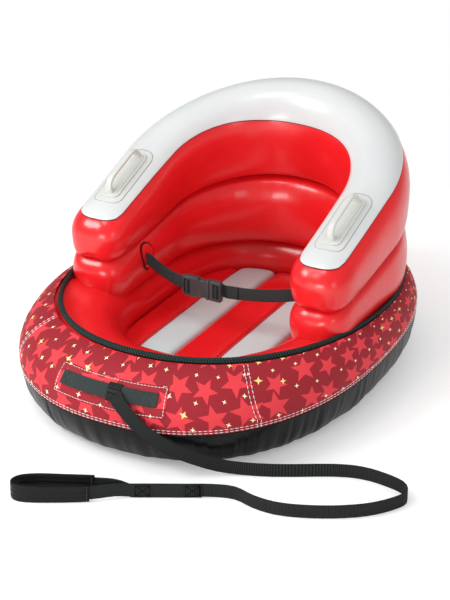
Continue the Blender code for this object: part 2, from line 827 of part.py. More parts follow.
HANDLE_PATCH_LIFT = SEAT_GAP + VINYL_THICKNESS
HANDLE_BASE_LIFT = HANDLE_PATCH_LIFT + SEAT_GAP + HANDLE_BASE_THICKNESS
GRIP_CORNER_SHARE = 0.35
GRIP_SHAPE_SHARES = ((1, 0.30), (0.93, 0.68), (0.76, 0.93), (0.50, 1), (0, 1))


def arm_stations(side):
    """The straight arm's sections behind the rounded end of the panel, and two more into the bend."""
    start = panel_front + PANEL_CORNER / 2
    arms = [s for s in CHAIR if s[0].x * side > 0 and start < s[0].y < BEND_Y + TUBE_HALF_WIDTH]
    return sorted(arms, key=lambda s: s[0].y)


def crown_point(side, y, lift=0.0):
    """A point above the arm's crown."""
    return Vector((side * ARM_X, y, top_height(y) + lift))


def handle_plate(name, side, lift, thickness, length, width, corner, material):
    """A plate that lies on the arm, with the arm's own curve and a rounded oblong outline."""
    part = add_object(name, slab(*crown_grids(arm_stations(side), lift, thickness)), material)
    slope = crown_point(side, HANDLE_CENTRE + length / 2) - crown_point(side, HANDLE_CENTRE - length / 2)
    along = slope.normalized()
    centre = crown_point(side, HANDLE_CENTRE)
    across = Vector((1, 0, 0))
    outline = [centre + along * u + across * v for u, v in rounded_oblong(length, width, corner)]
    prism = outline_prism(name + "_outline", outline, across.cross(along), TUBE_WIDTH / 2)
    cut(part, (prism,), "INTERSECT")
    return part


def grip_rings(side):
    """An arched band that rises from the base, runs along the arm and comes down again."""
    half = GRIP_LENGTH / 2
    top = GRIP_CLEARANCE + GRIP_THICKNESS / 2
    profile = [Vector((0, -half, -GRIP_THICKNESS))]
    profile += [Vector((0, -half * along, top * up)) for along, up in GRIP_SHAPE_SHARES]
    profile += [Vector((0, -point.y, point.z)) for point in reversed(profile[:-1])]
    slope = crown_point(side, HANDLE_CENTRE + half) - crown_point(side, HANDLE_CENTRE - half)
    along = slope.normalized()
    upward = Vector((1, 0, 0)).cross(along)
    centre = crown_point(side, HANDLE_CENTRE, HANDLE_BASE_LIFT)
    route = [centre + along * p.y + upward * p.z for p in smooth_route(profile, 2)]
    rings = []
    for point, tangent in zip(route, tangents(route)):
        face = Vector((1, 0, 0)).cross(tangent).normalized()
        ring = []
        for u, v in rounded_oblong(GRIP_WIDTH, GRIP_THICKNESS, GRIP_THICKNESS * GRIP_CORNER_SHARE, 1):
            ring.append(point + Vector((u, 0, 0)) + face * v)
        rings.append(ring)
    return rings


for side, label in ((-1, "left"), (1, "right")):
    handle_plate(
        "handle_patch_" + label, side, HANDLE_PATCH_LIFT, VINYL_THICKNESS,
        HANDLE_PATCH_LENGTH, HANDLE_PATCH_WIDTH, HANDLE_PATCH_WIDTH / 3, WHITE_VINYL,
    )
    handle = handle_plate(
        "handle_" + label, side, HANDLE_BASE_LIFT, HANDLE_BASE_THICKNESS,
        HANDLE_BASE_LENGTH, HANDLE_BASE_WIDTH, HANDLE_BASE_WIDTH / 3, MOULDED_WHITE,
    )
    floor_cutter = add_object(
        "grip_foot_" + label,
        slab(*crown_grids(arm_stations(side), HANDLE_PATCH_LIFT + SEAT_GAP, TUBE_WIDTH / 4)),
        MOULDED_WHITE,
    )
    grip = add_object("grip_" + label, loft(grip_rings(side)), MOULDED_WHITE)
    cut(grip, (floor_cutter,))
    cut(handle, (grip,), "UNION")


# Seat belt anchors: oval patches on the seat side of the lower tube

ANCHOR_CORNERS = 16
ANCHOR_MIDDLE_SHARE = 0.4


def anchor_ring(side, share, lift):
    """A ring of points of the oval, this far out from its middle, on the seat side of the lower tube."""
    half_height = (crease_height(ANCHOR_Y) - lower_base(ANCHOR_Y)) / 2
    middle_z = (crease_height(ANCHOR_Y) + lower_base(ANCHOR_Y)) / 2
    ring = []
    for i in range(ANCHOR_CORNERS):
        corner = 2 * math.pi * i / ANCHOR_CORNERS
        y = ANCHOR_Y + share * math.cos(corner) * ANCHOR_WIDTH / 2
        rise = ANCHOR_Z - middle_z + share * math.sin(corner) * ANCHOR_LENGTH / 2
        station = (Vector((side * ARM_X, y, 0)), Vector((side, 0, 0)), 1.0)
        ring.append(tube_point(station, math.pi - rise / half_height, "lower", -lift))
    return ring


ANCHOR_FACE = ANCHOR_EASE + VINYL_THICKNESS
for side, label in ((-1, "left"), (1, "right")):
    rings = [
        anchor_ring(side, ANCHOR_MIDDLE_SHARE, ANCHOR_EASE),
        anchor_ring(side, 1, ANCHOR_EASE),
        anchor_ring(side, 1, ANCHOR_FACE),
        anchor_ring(side, ANCHOR_MIDDLE_SHARE, ANCHOR_FACE),
    ]
    add_object("belt_anchor_" + label, loft(rings), RED_VINYL)


# Buckle: a socket on the left, and a plug with two sprung prongs on the right

SOCKET_LEFT = BUCKLE_X - BUCKLE_LENGTH / 2
MOUTH_X = SOCKET_LEFT + SOCKET_LENGTH
PLUG_RIGHT = BUCKLE_X + BUCKLE_LENGTH / 2
SIDE_WALL = 0.0035
FACE_WALL = 0.0020
SOCKET_DEPTH = 0.039
NOTCH_LENGTH = 0.019
NOTCH_DEPTH = 0.006
NOTCH_TO_MOUTH = 0.005
GUIDE_WIDTH = 0.008
GUIDE_LENGTH = 0.030
PRONG_WIDTH = 0.004
PRONG_REACH = 0.030
PRONG_PLAY = 0.0008
PRONG_CATCH = 0.0010
PRONG_TIP_SHARES = ((0.92, 1.1), (1.0, 0.8), (0.97, 0.4))
PRONG_HEAD_SHARES = ((-0.34, 0), (-0.24, 1), (0.26, 1), (0.30, 0))
SLOT_LENGTH = WEBBING_WIDTH + 0.0020


def buckle_frame(part, end, inward):
    """Cuts the two webbing slots beside the two bars of a buckle half. Inward is +1 where the body lies at +X."""
    near = end + inward * BAR_WIDTH
    for number in range(2):
        far = near + inward * SLOT_WIDTH
        low = Vector((min(near, far), BELT_Y - BUCKLE_THICKNESS, BUCKLE_Z - SLOT_LENGTH / 2))
        high = Vector((max(near, far), BELT_Y + BUCKLE_THICKNESS, BUCKLE_Z + SLOT_LENGTH / 2))
        slot = block(f"{part.name}_slot_{number}", low, high, BUCKLE_PLASTIC)
        cut(part, (slot,))
        near = far + inward * BAR_WIDTH


socket = block(
    "buckle_socket",
    (SOCKET_LEFT, BELT_Y - BUCKLE_THICKNESS / 2, BUCKLE_Z - BUCKLE_WIDTH / 2),
    (MOUTH_X, BELT_Y + BUCKLE_THICKNESS / 2, BUCKLE_Z + BUCKLE_WIDTH / 2),
    BUCKLE_PLASTIC, BUCKLE_THICKNESS / 6,
)
cavity = block(
    "socket_cavity",
    (MOUTH_X - SOCKET_DEPTH, BELT_Y - BUCKLE_THICKNESS / 2 + FACE_WALL, BUCKLE_Z - BUCKLE_WIDTH / 2 + SIDE_WALL),
    (MOUTH_X + OVERRUN, BELT_Y + BUCKLE_THICKNESS / 2 - FACE_WALL, BUCKLE_Z + BUCKLE_WIDTH / 2 - SIDE_WALL),
    BUCKLE_PLASTIC,
)
cut(socket, (cavity,))
notch_radius = (NOTCH_LENGTH ** 2 / 4 + NOTCH_DEPTH ** 2) / (2 * NOTCH_DEPTH)
notch_x = MOUTH_X - NOTCH_TO_MOUTH - NOTCH_LENGTH / 2
for side, label in ((-1, "lower"), (1, "upper")):
    centre = Vector((notch_x, BELT_Y, BUCKLE_Z + side * (BUCKLE_WIDTH / 2 + notch_radius - NOTCH_DEPTH)))
    outline = []
    for i in range(24):
        turn = 2 * math.pi * (i + 0.5) / 24
        outline.append(centre + Vector((math.cos(turn), 0, math.sin(turn))) * notch_radius)
    cut(socket, (outline_prism("notch_" + label, outline, Vector((0, 1, 0)), BUCKLE_THICKNESS),))
buckle_frame(socket, SOCKET_LEFT, 1)

plug = block(
    "buckle_plug",
    (MOUTH_X + SEAT_GAP, BELT_Y - BUCKLE_THICKNESS / 2, BUCKLE_Z - BUCKLE_WIDTH / 2),
    (PLUG_RIGHT, BELT_Y + BUCKLE_THICKNESS / 2, BUCKLE_Z + BUCKLE_WIDTH / 2),
    BUCKLE_PLASTIC, BUCKLE_THICKNESS / 6,
)
guide = block(
    "plug_guide",
    (MOUTH_X - GUIDE_LENGTH, BELT_Y - BAR_THICKNESS / 2, BUCKLE_Z - GUIDE_WIDTH / 2),
    (MOUTH_X + BAR_WIDTH, BELT_Y + BAR_THICKNESS / 2, BUCKLE_Z + GUIDE_WIDTH / 2),
    BUCKLE_PLASTIC,
)
cut(plug, (guide,), "UNION")
buckle_frame(plug, PLUG_RIGHT, -1)

cavity_half = BUCKLE_WIDTH / 2 - SIDE_WALL
prong_outer = cavity_half - PRONG_PLAY
head_rise = PRONG_PLAY + PRONG_CATCH
shape = [(0, prong_outer), (0, prong_outer - PRONG_WIDTH)]
for along, inward in PRONG_TIP_SHARES:
    shape.append((-PRONG_REACH * along, prong_outer - PRONG_WIDTH * inward))
for along, up in PRONG_HEAD_SHARES:
    shape.append((notch_x - MOUTH_X + NOTCH_LENGTH * along, prong_outer + head_rise * up))
for side, label in ((-1, "lower"), (1, "upper")):
    half = BUCKLE_THICKNESS / 2 - FACE_WALL - SEAT_GAP
    rings = []
    for y in (-half, half):
        rings.append([Vector((MOUTH_X + u, BELT_Y + y, BUCKLE_Z + side * v)) for u, v in shape])
    pivot = Vector((MOUTH_X, BELT_Y, BUCKLE_Z + side * (prong_outer - PRONG_WIDTH / 2)))
    add_object("buckle_prong_" + label, loft(rings), BUCKLE_PLASTIC, pivot)


# Seat belt straps: from the anchors, behind the outer bar, over the inner bar and back


BELT_SAG = 0.005
BELT_SAG_SHARES = (0.33, 0.68)


def belt_route(side, end, inward):
    """Centre line of one strap, from its anchor to the end of its sewn-back tail."""
    bar = BAR_WIDTH
    slot = SLOT_WIDTH
    clear = BUCKLE_THICKNESS / 2 + SEAT_GAP + WEBBING_THICKNESS / 2
    second = clear + SEAT_GAP + WEBBING_THICKNESS
    anchor_face = ARM_X - TUBE_HALF_WIDTH - ANCHOR_FACE - SEAT_GAP
    start = Vector((side * anchor_face, BELT_TOP_Y, BELT_TOP_Z))
    first_slot = end + inward * (bar + slot / 2)
    bar_middle = end + inward * (1.5 * bar + slot)
    second_slot = end + inward * (2 * bar + 1.5 * slot)
    behind = Vector((end - inward * bar, BELT_Y + clear, BUCKLE_Z))
    level = start - Vector((side * WEBBING_WIDTH / 4, 0, 0))
    hanging = [level.lerp(behind, share) for share in BELT_SAG_SHARES]
    for point in hanging:
        point.z -= BELT_SAG
    run = [start] + smooth_route([level] + hanging + [behind], 3)
    run += [
        Vector((first_slot - inward * slot / 3, BELT_Y + clear, BUCKLE_Z)),
        Vector((first_slot, BELT_Y + BUCKLE_THICKNESS / 4, BUCKLE_Z)),
        Vector((first_slot, BELT_Y - BUCKLE_THICKNESS / 4, BUCKLE_Z)),
        Vector((first_slot + inward * slot / 3, BELT_Y - clear, BUCKLE_Z)),
        Vector((bar_middle, BELT_Y - clear - SEAT_GAP, BUCKLE_Z)),
        Vector((second_slot - inward * slot / 3, BELT_Y - clear, BUCKLE_Z)),
        Vector((second_slot, BELT_Y - BUCKLE_THICKNESS / 4, BUCKLE_Z)),
        Vector((second_slot, BELT_Y + BUCKLE_THICKNESS / 4, BUCKLE_Z)),
        Vector((second_slot - inward * slot / 3, BELT_Y + second, BUCKLE_Z)),
        Vector((bar_middle, BELT_Y + second + SEAT_GAP, BUCKLE_Z)),
        Vector((end, BELT_Y + second + SEAT_GAP, BUCKLE_Z)),
    ]
    return run


for side, label, end, inward in ((-1, "left", SOCKET_LEFT, 1), (1, "right", PLUG_RIGHT, -1)):
    route = belt_route(side, end, inward)
    faces = [side_of(t) for t in tangents(route)]
    rings = strap_rings(route, faces, WEBBING_WIDTH, WEBBING_THICKNESS)
    add_object("belt_strap_" + label, loft(rings), WEBBING)


# Tow point: a patch inside the front panel, and a webbing bar sewn on outside it

SEWN_SHARES = (0, 0.25, 0.5, 0.75, 1)
TOW_PATCH_STATIONS = 2
TOW_PATCH_ROWS = (2, 5)


def front_stations():
    return range(FRONT_CENTRE - TOW_PATCH_STATIONS, FRONT_CENTRE + TOW_PATCH_STATIONS + 1)


patch_grids = []
first, last = TOW_PATCH_ROWS
for depth in (COVER_THICKNESS + SEAT_GAP, 2 * COVER_THICKNESS + SEAT_GAP):
    grid = []
    for station in front_stations():
        grid.append([cover_face(station, turn, depth) for turn in panel_turns(station)[first:last + 1]])
    patch_grids.append(grid)
add_object("tow_reinforcement", slab(*patch_grids), BLACK_CLOTH)


def tow_frame(x, lift):
    """A point over the front panel at the tow bar's height, and the way the panel faces there."""
    turn = turn_at_height(FRONT_CENTRE, TOW_BAR_HEIGHT)
    angle = -math.acos(min(abs(x) / HALF_WIDTH, 1) ** (TUB_POWER / 2))
    if x < 0:
        angle = -math.pi - angle
    face = cover_normal(angle, turn)
    return cover_point(angle, turn) + face * lift, face


def sewn_depth(x):
    """How far the panel's facets lie behind a flat end of the bar, from its tip at x to its last stitch."""
    outer_grid = panel_grids(LEFT_SEAM, RIGHT_SEAM, COVER_THICKNESS)[0]
    points = [point for row in outer_grid for point in row]
    size = len(outer_grid[0])
    faces = []
    for i in range(len(outer_grid) - 1):
        for corner in range(i * size, (i + 1) * size - 1):
            faces.append((corner, corner + 1, corner + size + 1, corner + size))
    skin = BVHTree.FromPolygons(points, faces)
    tip, tip_face = tow_frame(x, 0)
    stitch, stitch_face = tow_frame(math.copysign(sewn, x), 0)
    face = (tip_face + stitch_face).normalized()
    across = (stitch - tip).cross(face).normalized() * WEBBING_WIDTH / 2
    gaps = []
    for along in SEWN_SHARES:
        for side in SEWN_SHARES:
            start = tip.lerp(stitch, along) + across * (2 * side - 1)
            hit = skin.ray_cast(start + face * OVERRUN, -face)[0]
            gaps.append((start - hit).dot(face) if hit else OVERRUN)
    return min(gaps)


EYE_REACH_SHARE = 0.8
BAR_BOW_SHARE = 0.7
EYE_CORNER_SHARE = 0.9
bar_lift = SEAT_GAP + WEBBING_THICKNESS / 2
sewn = TOW_BAR_LENGTH / 2 - WEBBING_WIDTH
eye_reach = WEBBING_WIDTH * EYE_REACH_SHARE
left_sink = -sewn_depth(-TOW_BAR_LENGTH / 2)
right_sink = -sewn_depth(TOW_BAR_LENGTH / 2)
bar_places = (
    (-TOW_BAR_LENGTH / 2, left_sink), (-sewn, left_sink), (-sewn / 2, TOW_BAR_BOW * BAR_BOW_SHARE),
    (TOW_EYE_X - eye_reach, TOW_BAR_BOW), (TOW_EYE_X + eye_reach, TOW_BAR_BOW),
    (sewn, right_sink), (TOW_BAR_LENGTH / 2, right_sink),
)
bar_frames = [tow_frame(x, bar_lift + bow) for x, bow in bar_places]
bar_rings = strap_rings([f[0] for f in bar_frames], [f[1] for f in bar_frames], WEBBING_WIDTH, WEBBING_THICKNESS)
add_object("tow_bar", loft(bar_rings), WEBBING)


# Leash eye: the end of the leash sewn round the tow bar

eye_left = bar_frames[3][0]
eye_right = bar_frames[4][0]
eye_centre = (eye_left + eye_right) / 2
eye_along = (eye_right - eye_left).normalized()
eye_face = tow_frame(TOW_EYE_X, 0)[1]
eye_down = eye_face.cross(eye_along).normalized()
if eye_down.z > 0:
    eye_down.negate()
eye_half = WEBBING_WIDTH / 2 + 2 * CREASE_GAP + LEASH_THICKNESS / 2
eye_depth = WEBBING_THICKNESS / 2 + CREASE_GAP + LEASH_THICKNESS / 2
eye_loop = []
for u, v in rounded_oblong(2 * eye_half, 2 * eye_depth, eye_depth * EYE_CORNER_SHARE, 2):
    eye_loop.append(eye_centre + eye_down * u + eye_face * v)
eye_faces = [t.cross(eye_along).normalized() for t in tangents(eye_loop, closed=True)]
add_object(
    "leash_eye",
    loft(strap_rings(eye_loop, eye_faces, WEBBING_WIDTH, LEASH_THICKNESS, closed=True), closed=True),
    WEBBING,
)


# Leash: a flat strap from the eye down the front, then on its edge on the ground to the hand loop

STAND = WEBBING_WIDTH / 2 + SEAT_GAP
SLEEVE_WIDTH = WEBBING_WIDTH + 2 * SEAT_GAP + 2 * SLEEVE_WALL
LOOP_STAND = SLEEVE_WIDTH / 2 + SEAT_GAP
LEASH_RUN = [
    Vector((0.0220, -0.4175, 0.1330)),
    Vector((0.0375, -0.4256, 0.1218)),
    Vector((0.0544, -0.4285, 0.1085)),
    Vector((0.0745, -0.4270, 0.0896)),
    Vector((0.1003, -0.4220, 0.0725)),
    Vector((0.1297, -0.4090, 0.0521)),
    Vector((0.1670, -0.3860, 0.0320)),
    Vector((0.2068, -0.3580, 0.0155)),
    Vector((0.2750, -0.3280, STAND)),
    Vector((0.3620, -0.2800, STAND)),
    Vector((0.4080, -0.2650, STAND)),
    Vector((0.4500, -0.2660, STAND)),
    Vector((0.4870, -0.2760, STAND)),
    Vector((0.5030, -0.2990, STAND)),
    Vector((0.4920, -0.3290, STAND)),
    Vector((0.4620, -0.3660, STAND)),
    Vector((0.4190, -0.3970, STAND)),
    Vector((0.3720, -0.4200, STAND)),
    Vector((0.3300, -0.4320, STAND)),
    Vector((0.2900, -0.4310, STAND)),
    Vector((0.2520, -0.4220, STAND)),
    Vector((0.2150, -0.4330, STAND)),
    Vector((0.1700, -0.4570, STAND)),
    Vector((0.1300, -0.4780, STAND)),
    Vector((0.0990, -0.4950, STAND)),
]
HAND_LOOP = [
    Vector((0.0780, -0.5110, LOOP_STAND)),
    Vector((0.0450, -0.5400, LOOP_STAND)),
    Vector((0.0000, -0.5680, LOOP_STAND)),
    Vector((-0.0400, -0.5890, LOOP_STAND)),
    Vector((-0.0620, -0.5940, LOOP_STAND)),
    Vector((-0.0740, -0.5850, LOOP_STAND)),
    Vector((-0.0700, -0.5680, LOOP_STAND)),
    Vector((-0.0480, -0.5510, LOOP_STAND)),
    Vector((-0.0100, -0.5330, LOOP_STAND)),
    Vector((0.0380, -0.5110, LOOP_STAND)),
    Vector((0.0720, -0.4990, LOOP_STAND)),
]
TAIL_POINTS = 9
run = smooth_route(LEASH_RUN, 3)
apart = LEASH_THICKNESS + 2 * SEAT_GAP
tail = [point - side_of(t) * apart for point, t in zip(run, tangents(run))][-TAIL_POINTS:]
tail.reverse()
loop = smooth_route([run[-1]] + HAND_LOOP + [tail[0]], 3)
leash_route = run[:-1] + loop[:-1] + tail
leash_faces = []
for index, tangent in enumerate(tangents(leash_route)):
    leash_faces.append(side_of(tangent, eye_face, min(index / 12, 1)))
add_object("leash", loft(strap_rings(leash_route, leash_faces, WEBBING_WIDTH, LEASH_THICKNESS)), WEBBING)


# Sleeve: a padded tube of rectangular section round the hand loop, open at both ends

SLEEVE_START_STEPS = 5
SLEEVE_END_STEPS = 29
SLEEVE_FIRST = len(run) + SLEEVE_START_STEPS
SLEEVE_LAST = len(run) + SLEEVE_END_STEPS


def sleeve_body():
    made = bmesh.new()
    skins = []
    hollow_width = WEBBING_WIDTH + 2 * SEAT_GAP
    hollow_thickness = LEASH_THICKNESS + 2 * SEAT_GAP
    for width, thickness in (
        (SLEEVE_WIDTH, hollow_thickness + 2 * SLEEVE_WALL),
        (hollow_width, hollow_thickness),
    ):
        rings = strap_rings(leash_route, leash_faces, width, thickness)[SLEEVE_FIRST:SLEEVE_LAST + 1]
        skins.append([[made.verts.new(point) for point in ring] for ring in rings])
    for rows in skins:
        for one, two in zip(rows, rows[1:]):
            for i in range(4):
                j = (i + 1) % 4
                made.faces.new((one[i], one[j], two[j], two[i]))
    for end in (0, -1):
        outer, inner = skins[0][end], skins[1][end]
        for i in range(4):
            j = (i + 1) % 4
            made.faces.new((outer[i], outer[j], inner[j], inner[i]))
    return made


add_object("leash_grip_sleeve", sleeve_body(), HEM_TAPE)


# Valves: one for each air chamber, a flanged neck with a hinged cap

VALVE_STEPS = 16


def turned(profile, centre, axis, start):
    """A solid turned from (radius, height) pairs round an axis, as rings that follow the profile."""
    side = axis.cross(start).normalized()
    rings = []
    for i in range(VALVE_STEPS):
        turn = 2 * math.pi * i / VALVE_STEPS
        spoke = start * math.cos(turn) + side * math.sin(turn)
        rings.append([centre + spoke * radius + axis * height for radius, height in profile])
    return loft(rings, closed=True)


def add_valve(label, seat, axis, hinge_way):
    """A valve whose flange lies on the seat point, with its cap hinged on the hinge_way side."""
    base = seat + axis * SEAT_GAP
    neck_top = VALVE_FLANGE_THICKNESS + VALVE_NECK_HEIGHT
    profile = (
        (VALVE_BORE_RADIUS, 0), (VALVE_FLANGE_RADIUS, 0), (VALVE_FLANGE_RADIUS, VALVE_FLANGE_THICKNESS),
        (VALVE_NECK_RADIUS, VALVE_FLANGE_THICKNESS), (VALVE_NECK_RADIUS, neck_top), (VALVE_BORE_RADIUS, neck_top),
    )
    add_object("valve_body_" + label, turned(profile, base, axis, hinge_way), VALVE_VINYL, base)
    cap_base = neck_top + SEAT_GAP
    cap_top = cap_base + VALVE_CAP_THICKNESS
    half_cap = VALVE_CAP_THICKNESS / 2
    pivot = base + hinge_way * (VALVE_CAP_RADIUS + half_cap) + axis * (cap_base + half_cap)
    rings = []
    outline = (
        (VALVE_PLUG_RADIUS - VALVE_PLUG_TAPER, cap_base - VALVE_PLUG_DEPTH), (VALVE_PLUG_RADIUS, cap_base),
        (VALVE_CAP_RADIUS, cap_base), (VALVE_CAP_RADIUS, cap_top),
    )
    for radius, height in outline:
        ring = []
        for i in range(VALVE_STEPS):
            turn = 2 * math.pi * i / VALVE_STEPS
            spoke = hinge_way * math.cos(turn) + axis.cross(hinge_way) * math.sin(turn)
            ring.append(base + spoke * radius + axis * height)
        rings.append(ring)
    add_object("valve_cap_" + label, loft(rings), VALVE_VINYL, pivot)


back_seat = tube_point(CHAIR[len(CHAIR) // 2], 0, "upper")
add_valve("back", back_seat, Vector((0, 1, 0)), Vector((0, 0, 1)))
ring_seat = bore_point(0)
add_valve("ring", ring_seat, Vector((-1, 0, 0)), Vector((0, 0, 1)))
floor_seat = Vector(((channel_edges[1] + channel_edges[2]) / 2, BEND_Y, RING_BASE + FLOOR_HEIGHT))
add_valve("floor", floor_seat, Vector((0, 0, 1)), Vector((0, 1, 0)))
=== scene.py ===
import math

import bmesh
import bpy
from mathutils import Matrix, Vector, noise


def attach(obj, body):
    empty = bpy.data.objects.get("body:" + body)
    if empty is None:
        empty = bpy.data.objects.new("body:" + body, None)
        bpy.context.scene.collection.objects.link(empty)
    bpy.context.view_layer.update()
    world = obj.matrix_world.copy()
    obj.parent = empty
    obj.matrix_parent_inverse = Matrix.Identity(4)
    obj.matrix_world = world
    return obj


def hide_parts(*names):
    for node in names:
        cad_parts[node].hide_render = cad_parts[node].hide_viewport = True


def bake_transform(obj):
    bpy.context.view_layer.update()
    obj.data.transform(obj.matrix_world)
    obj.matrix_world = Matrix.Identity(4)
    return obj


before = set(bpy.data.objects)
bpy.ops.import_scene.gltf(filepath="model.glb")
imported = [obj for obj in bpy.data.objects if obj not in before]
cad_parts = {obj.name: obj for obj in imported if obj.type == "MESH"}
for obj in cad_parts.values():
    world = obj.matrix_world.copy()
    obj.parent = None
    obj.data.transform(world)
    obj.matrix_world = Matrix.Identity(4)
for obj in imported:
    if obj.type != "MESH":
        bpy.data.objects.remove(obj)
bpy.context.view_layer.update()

# Studio: a pale floor that turns white away from the tube, a white room, a big soft lamp on the left, and
# weaker ones above, on the right and low in front. The camera looks down from the right of the front.
def linear(hex_colour):
    """Turns an sRGB colour such as #E0181C to the linear values that shaders use."""
    shares = [int(hex_colour[i:i + 2], 16) / 255 for i in (1, 3, 5)]
    return (*(s / 12.92 if s <= 0.04045 else ((s + 0.055) / 1.055) ** 2.4 for s in shares), 1)


def feed(target, inputs):
    """Sets a node's sockets, or links them to other sockets and to the first output of other nodes."""
    for socket, value in inputs.items():
        if isinstance(value, bpy.types.Node):
            value = value.outputs[0]
        if isinstance(value, bpy.types.NodeSocket):
            target.id_data.links.new(value, target.inputs[socket])
        else:
            target.inputs[socket].default_value = value


def node(tree, kind, inputs=None, **settings):
    """Adds a shader node with its settings, and what its sockets hold or are linked to."""
    made = tree.nodes.new("ShaderNode" + kind)
    for name, value in settings.items():
        setattr(made, name, value)
    feed(made, inputs or {})
    return made


def placed(name, data):
    """A new object in the scene."""
    made = bpy.data.objects.new(name, data)
    bpy.context.scene.collection.objects.link(made)
    return made


def finish_named(name, values):
    """A new material, its tree and its shader with plain values set."""
    made = bpy.data.materials.new(name)
    made.use_nodes = True
    shader = made.node_tree.nodes["Principled BSDF"]
    feed(shader, values)
    return made, made.node_tree, shader


CAMERA_SIDE = math.radians(28.6)
CAMERA_RISE = math.radians(25.78)
CAMERA_DISTANCE = 3.547
CAMERA_LENS = 114.5
CAMERA_AIM = Vector((0, 0.0467, 0.1257))
CAMERA_SHIFT = Vector((-0.0193, -0.018, 0))
back = Vector((
    math.sin(CAMERA_SIDE) * math.cos(CAMERA_RISE),
    -math.cos(CAMERA_SIDE) * math.cos(CAMERA_RISE),
    math.sin(CAMERA_RISE),
))
turned = (-back).to_track_quat("-Z", "Y")
camera_data = bpy.data.cameras.new("camera")
camera_data.lens = CAMERA_LENS
camera = placed("camera", camera_data)
camera.rotation_mode = "QUATERNION"
camera.rotation_quaternion = turned
camera.location = CAMERA_AIM + back * CAMERA_DISTANCE + turned @ CAMERA_SHIFT
bpy.context.scene.camera = camera
bpy.context.scene.view_settings.view_transform = "Standard"

bpy.ops.object.select_all(action="DESELECT")
bpy.ops.mesh.primitive_plane_add(size=30, location=(0, 0, -0.0002))
floor_sheet = bpy.context.object
floor_sheet.name = "studio_floor"
floor_paint, tree, shader = finish_named("floor_paint", {
    "Base Color": linear("#F0F0F0"), "Roughness": 1.0, "Specular IOR Level": 0.0,
})
glow = node(tree, "Emission", {"Strength": 0.24})
lit = node(tree, "AddShader", {0: shader, 1: glow})
bright = node(tree, "Emission", {"Strength": 1.0})
place = node(tree, "TexCoord")
reach = node(tree, "VectorMath", {0: place.outputs["Object"]}, operation="LENGTH")
far = node(tree, "MapRange", {"From Min": 0.55, "From Max": 1.1, "Value": reach.outputs["Value"]},
           interpolation_type="SMOOTHSTEP")
shown = node(tree, "MixShader", {0: far, 1: lit, 2: bright})
path = node(tree, "LightPath")
choice = node(tree, "MixShader", {0: path.outputs["Is Camera Ray"], 1: shader, 2: shown})
feed(tree.nodes["Material Output"], {"Surface": choice})
floor_sheet.data.materials.append(floor_paint)


def soft_lamp(name, place, aim, power, size):
    data = bpy.data.lights.new(name, "AREA")
    data.energy = power
    data.shape = "RECTANGLE"
    data.size, data.size_y = size
    lamp = placed(name, data)
    lamp.location = place
    lamp.rotation_mode = "QUATERNION"
    lamp.rotation_quaternion = (Vector(aim) - Vector(place)).to_track_quat("-Z", "Y")


soft_lamp("lamp_left", (-1.5, -1.5, 2.1), (0, 0, 0.15), 32, (1.0, 0.8))
soft_lamp("lamp_top", (-0.5, -1.0, 2.6), (0, 0.1, 0.2), 8, (0.7, 0.5))
soft_lamp("lamp_right", (1.8, -1.8, 1.0), (0, 0, 0.2), 4, (0.6, 0.9))
soft_lamp("lamp_low", (-0.2, -2.4, 0.45), (0, 0.2, 0.22), 11, (0.8, 0.45))

room = bpy.data.worlds.new("room")
room.use_nodes = True
bpy.context.scene.world = room
tree = room.node_tree
fill = tree.nodes["Background"]
feed(fill, {"Color": (1, 1, 1, 1), "Strength": 0.84})
way = node(tree, "TexCoord")
up = node(tree, "SeparateXYZ", {0: way.outputs["Generated"]})
fade = node(tree, "MapRange", {
    "Value": up.outputs["Z"], "From Min": 0.0, "From Max": 0.4, "To Min": 0.42, "To Max": 0.1,
}, interpolation_type="SMOOTHSTEP")
mirrored = node(tree, "Background", {"Color": (1, 1, 1, 1), "Strength": fade})
seen = node(tree, "Background", {"Color": (1, 1, 1, 1), "Strength": 1.0})
path = node(tree, "LightPath")
glossy = node(tree, "MixShader", {0: path.outputs["Is Glossy Ray"], 1: fill, 2: mirrored})
choice = node(tree, "MixShader", {0: path.outputs["Is Camera Ray"], 1: glossy, 2: seen})
feed(tree.nodes["World Output"], {"Surface": choice})


# Base ring: the main air chamber, welded from two sheets of red PVC film and blown up hard inside the
# cover. Film this thick shines softly, with broad dull reflections and a faint orange peel.
def film(name, colour, roughness, dirt):
    """Calendered PVC film: smooth, semi-gloss, with faint clouds of colour and slow dents."""
    made, tree, shader = finish_named(name, {
        "Roughness": roughness, "Coat Weight": 0.45, "Coat Roughness": 0.17,
    })
    place = node(tree, "TexCoord").outputs["Object"]
    cloud = node(tree, "TexNoise", {"Scale": 9.0, "Detail": 3.0, "Vector": place})
    ramp = node(tree, "ValToRGB", {"Fac": cloud})
    ramp.color_ramp.elements[0].position = 0.3
    ramp.color_ramp.elements[0].color = linear(dirt)
    ramp.color_ramp.elements[1].position = 0.62
    ramp.color_ramp.elements[1].color = linear(colour)
    dents = node(tree, "TexNoise", {"Scale": 26.0, "Detail": 1.0, "Vector": place})
    peel = node(tree, "TexNoise", {"Scale": 420.0, "Detail": 2.0, "Vector": place})
    slow = node(tree, "Bump", {"Strength": 0.3, "Distance": 0.002, "Height": dents})
    fine = node(tree, "Bump", {"Strength": 0.25, "Distance": 0.00015, "Height": peel, "Normal": slow})
    feed(shader, {"Base Color": ramp, "Normal": fine})
    return made


RED_FILM = film("red_pvc_film", "#EA1D23", 0.29, "#E0191E")
WHITE_FILM = film("white_pvc_film", "#D7D9D9", 0.29, "#D3D6D6")


def clear_selection():
    if bpy.context.object and bpy.context.object.mode != "OBJECT":
        bpy.ops.object.mode_set(mode="OBJECT")
    bpy.ops.object.select_all(action="DESELECT")


TURN = 2 * math.pi


def wander(x, y, z):
    """Smooth noise, the same each run."""
    return noise.noise(Vector((x, y, z)))


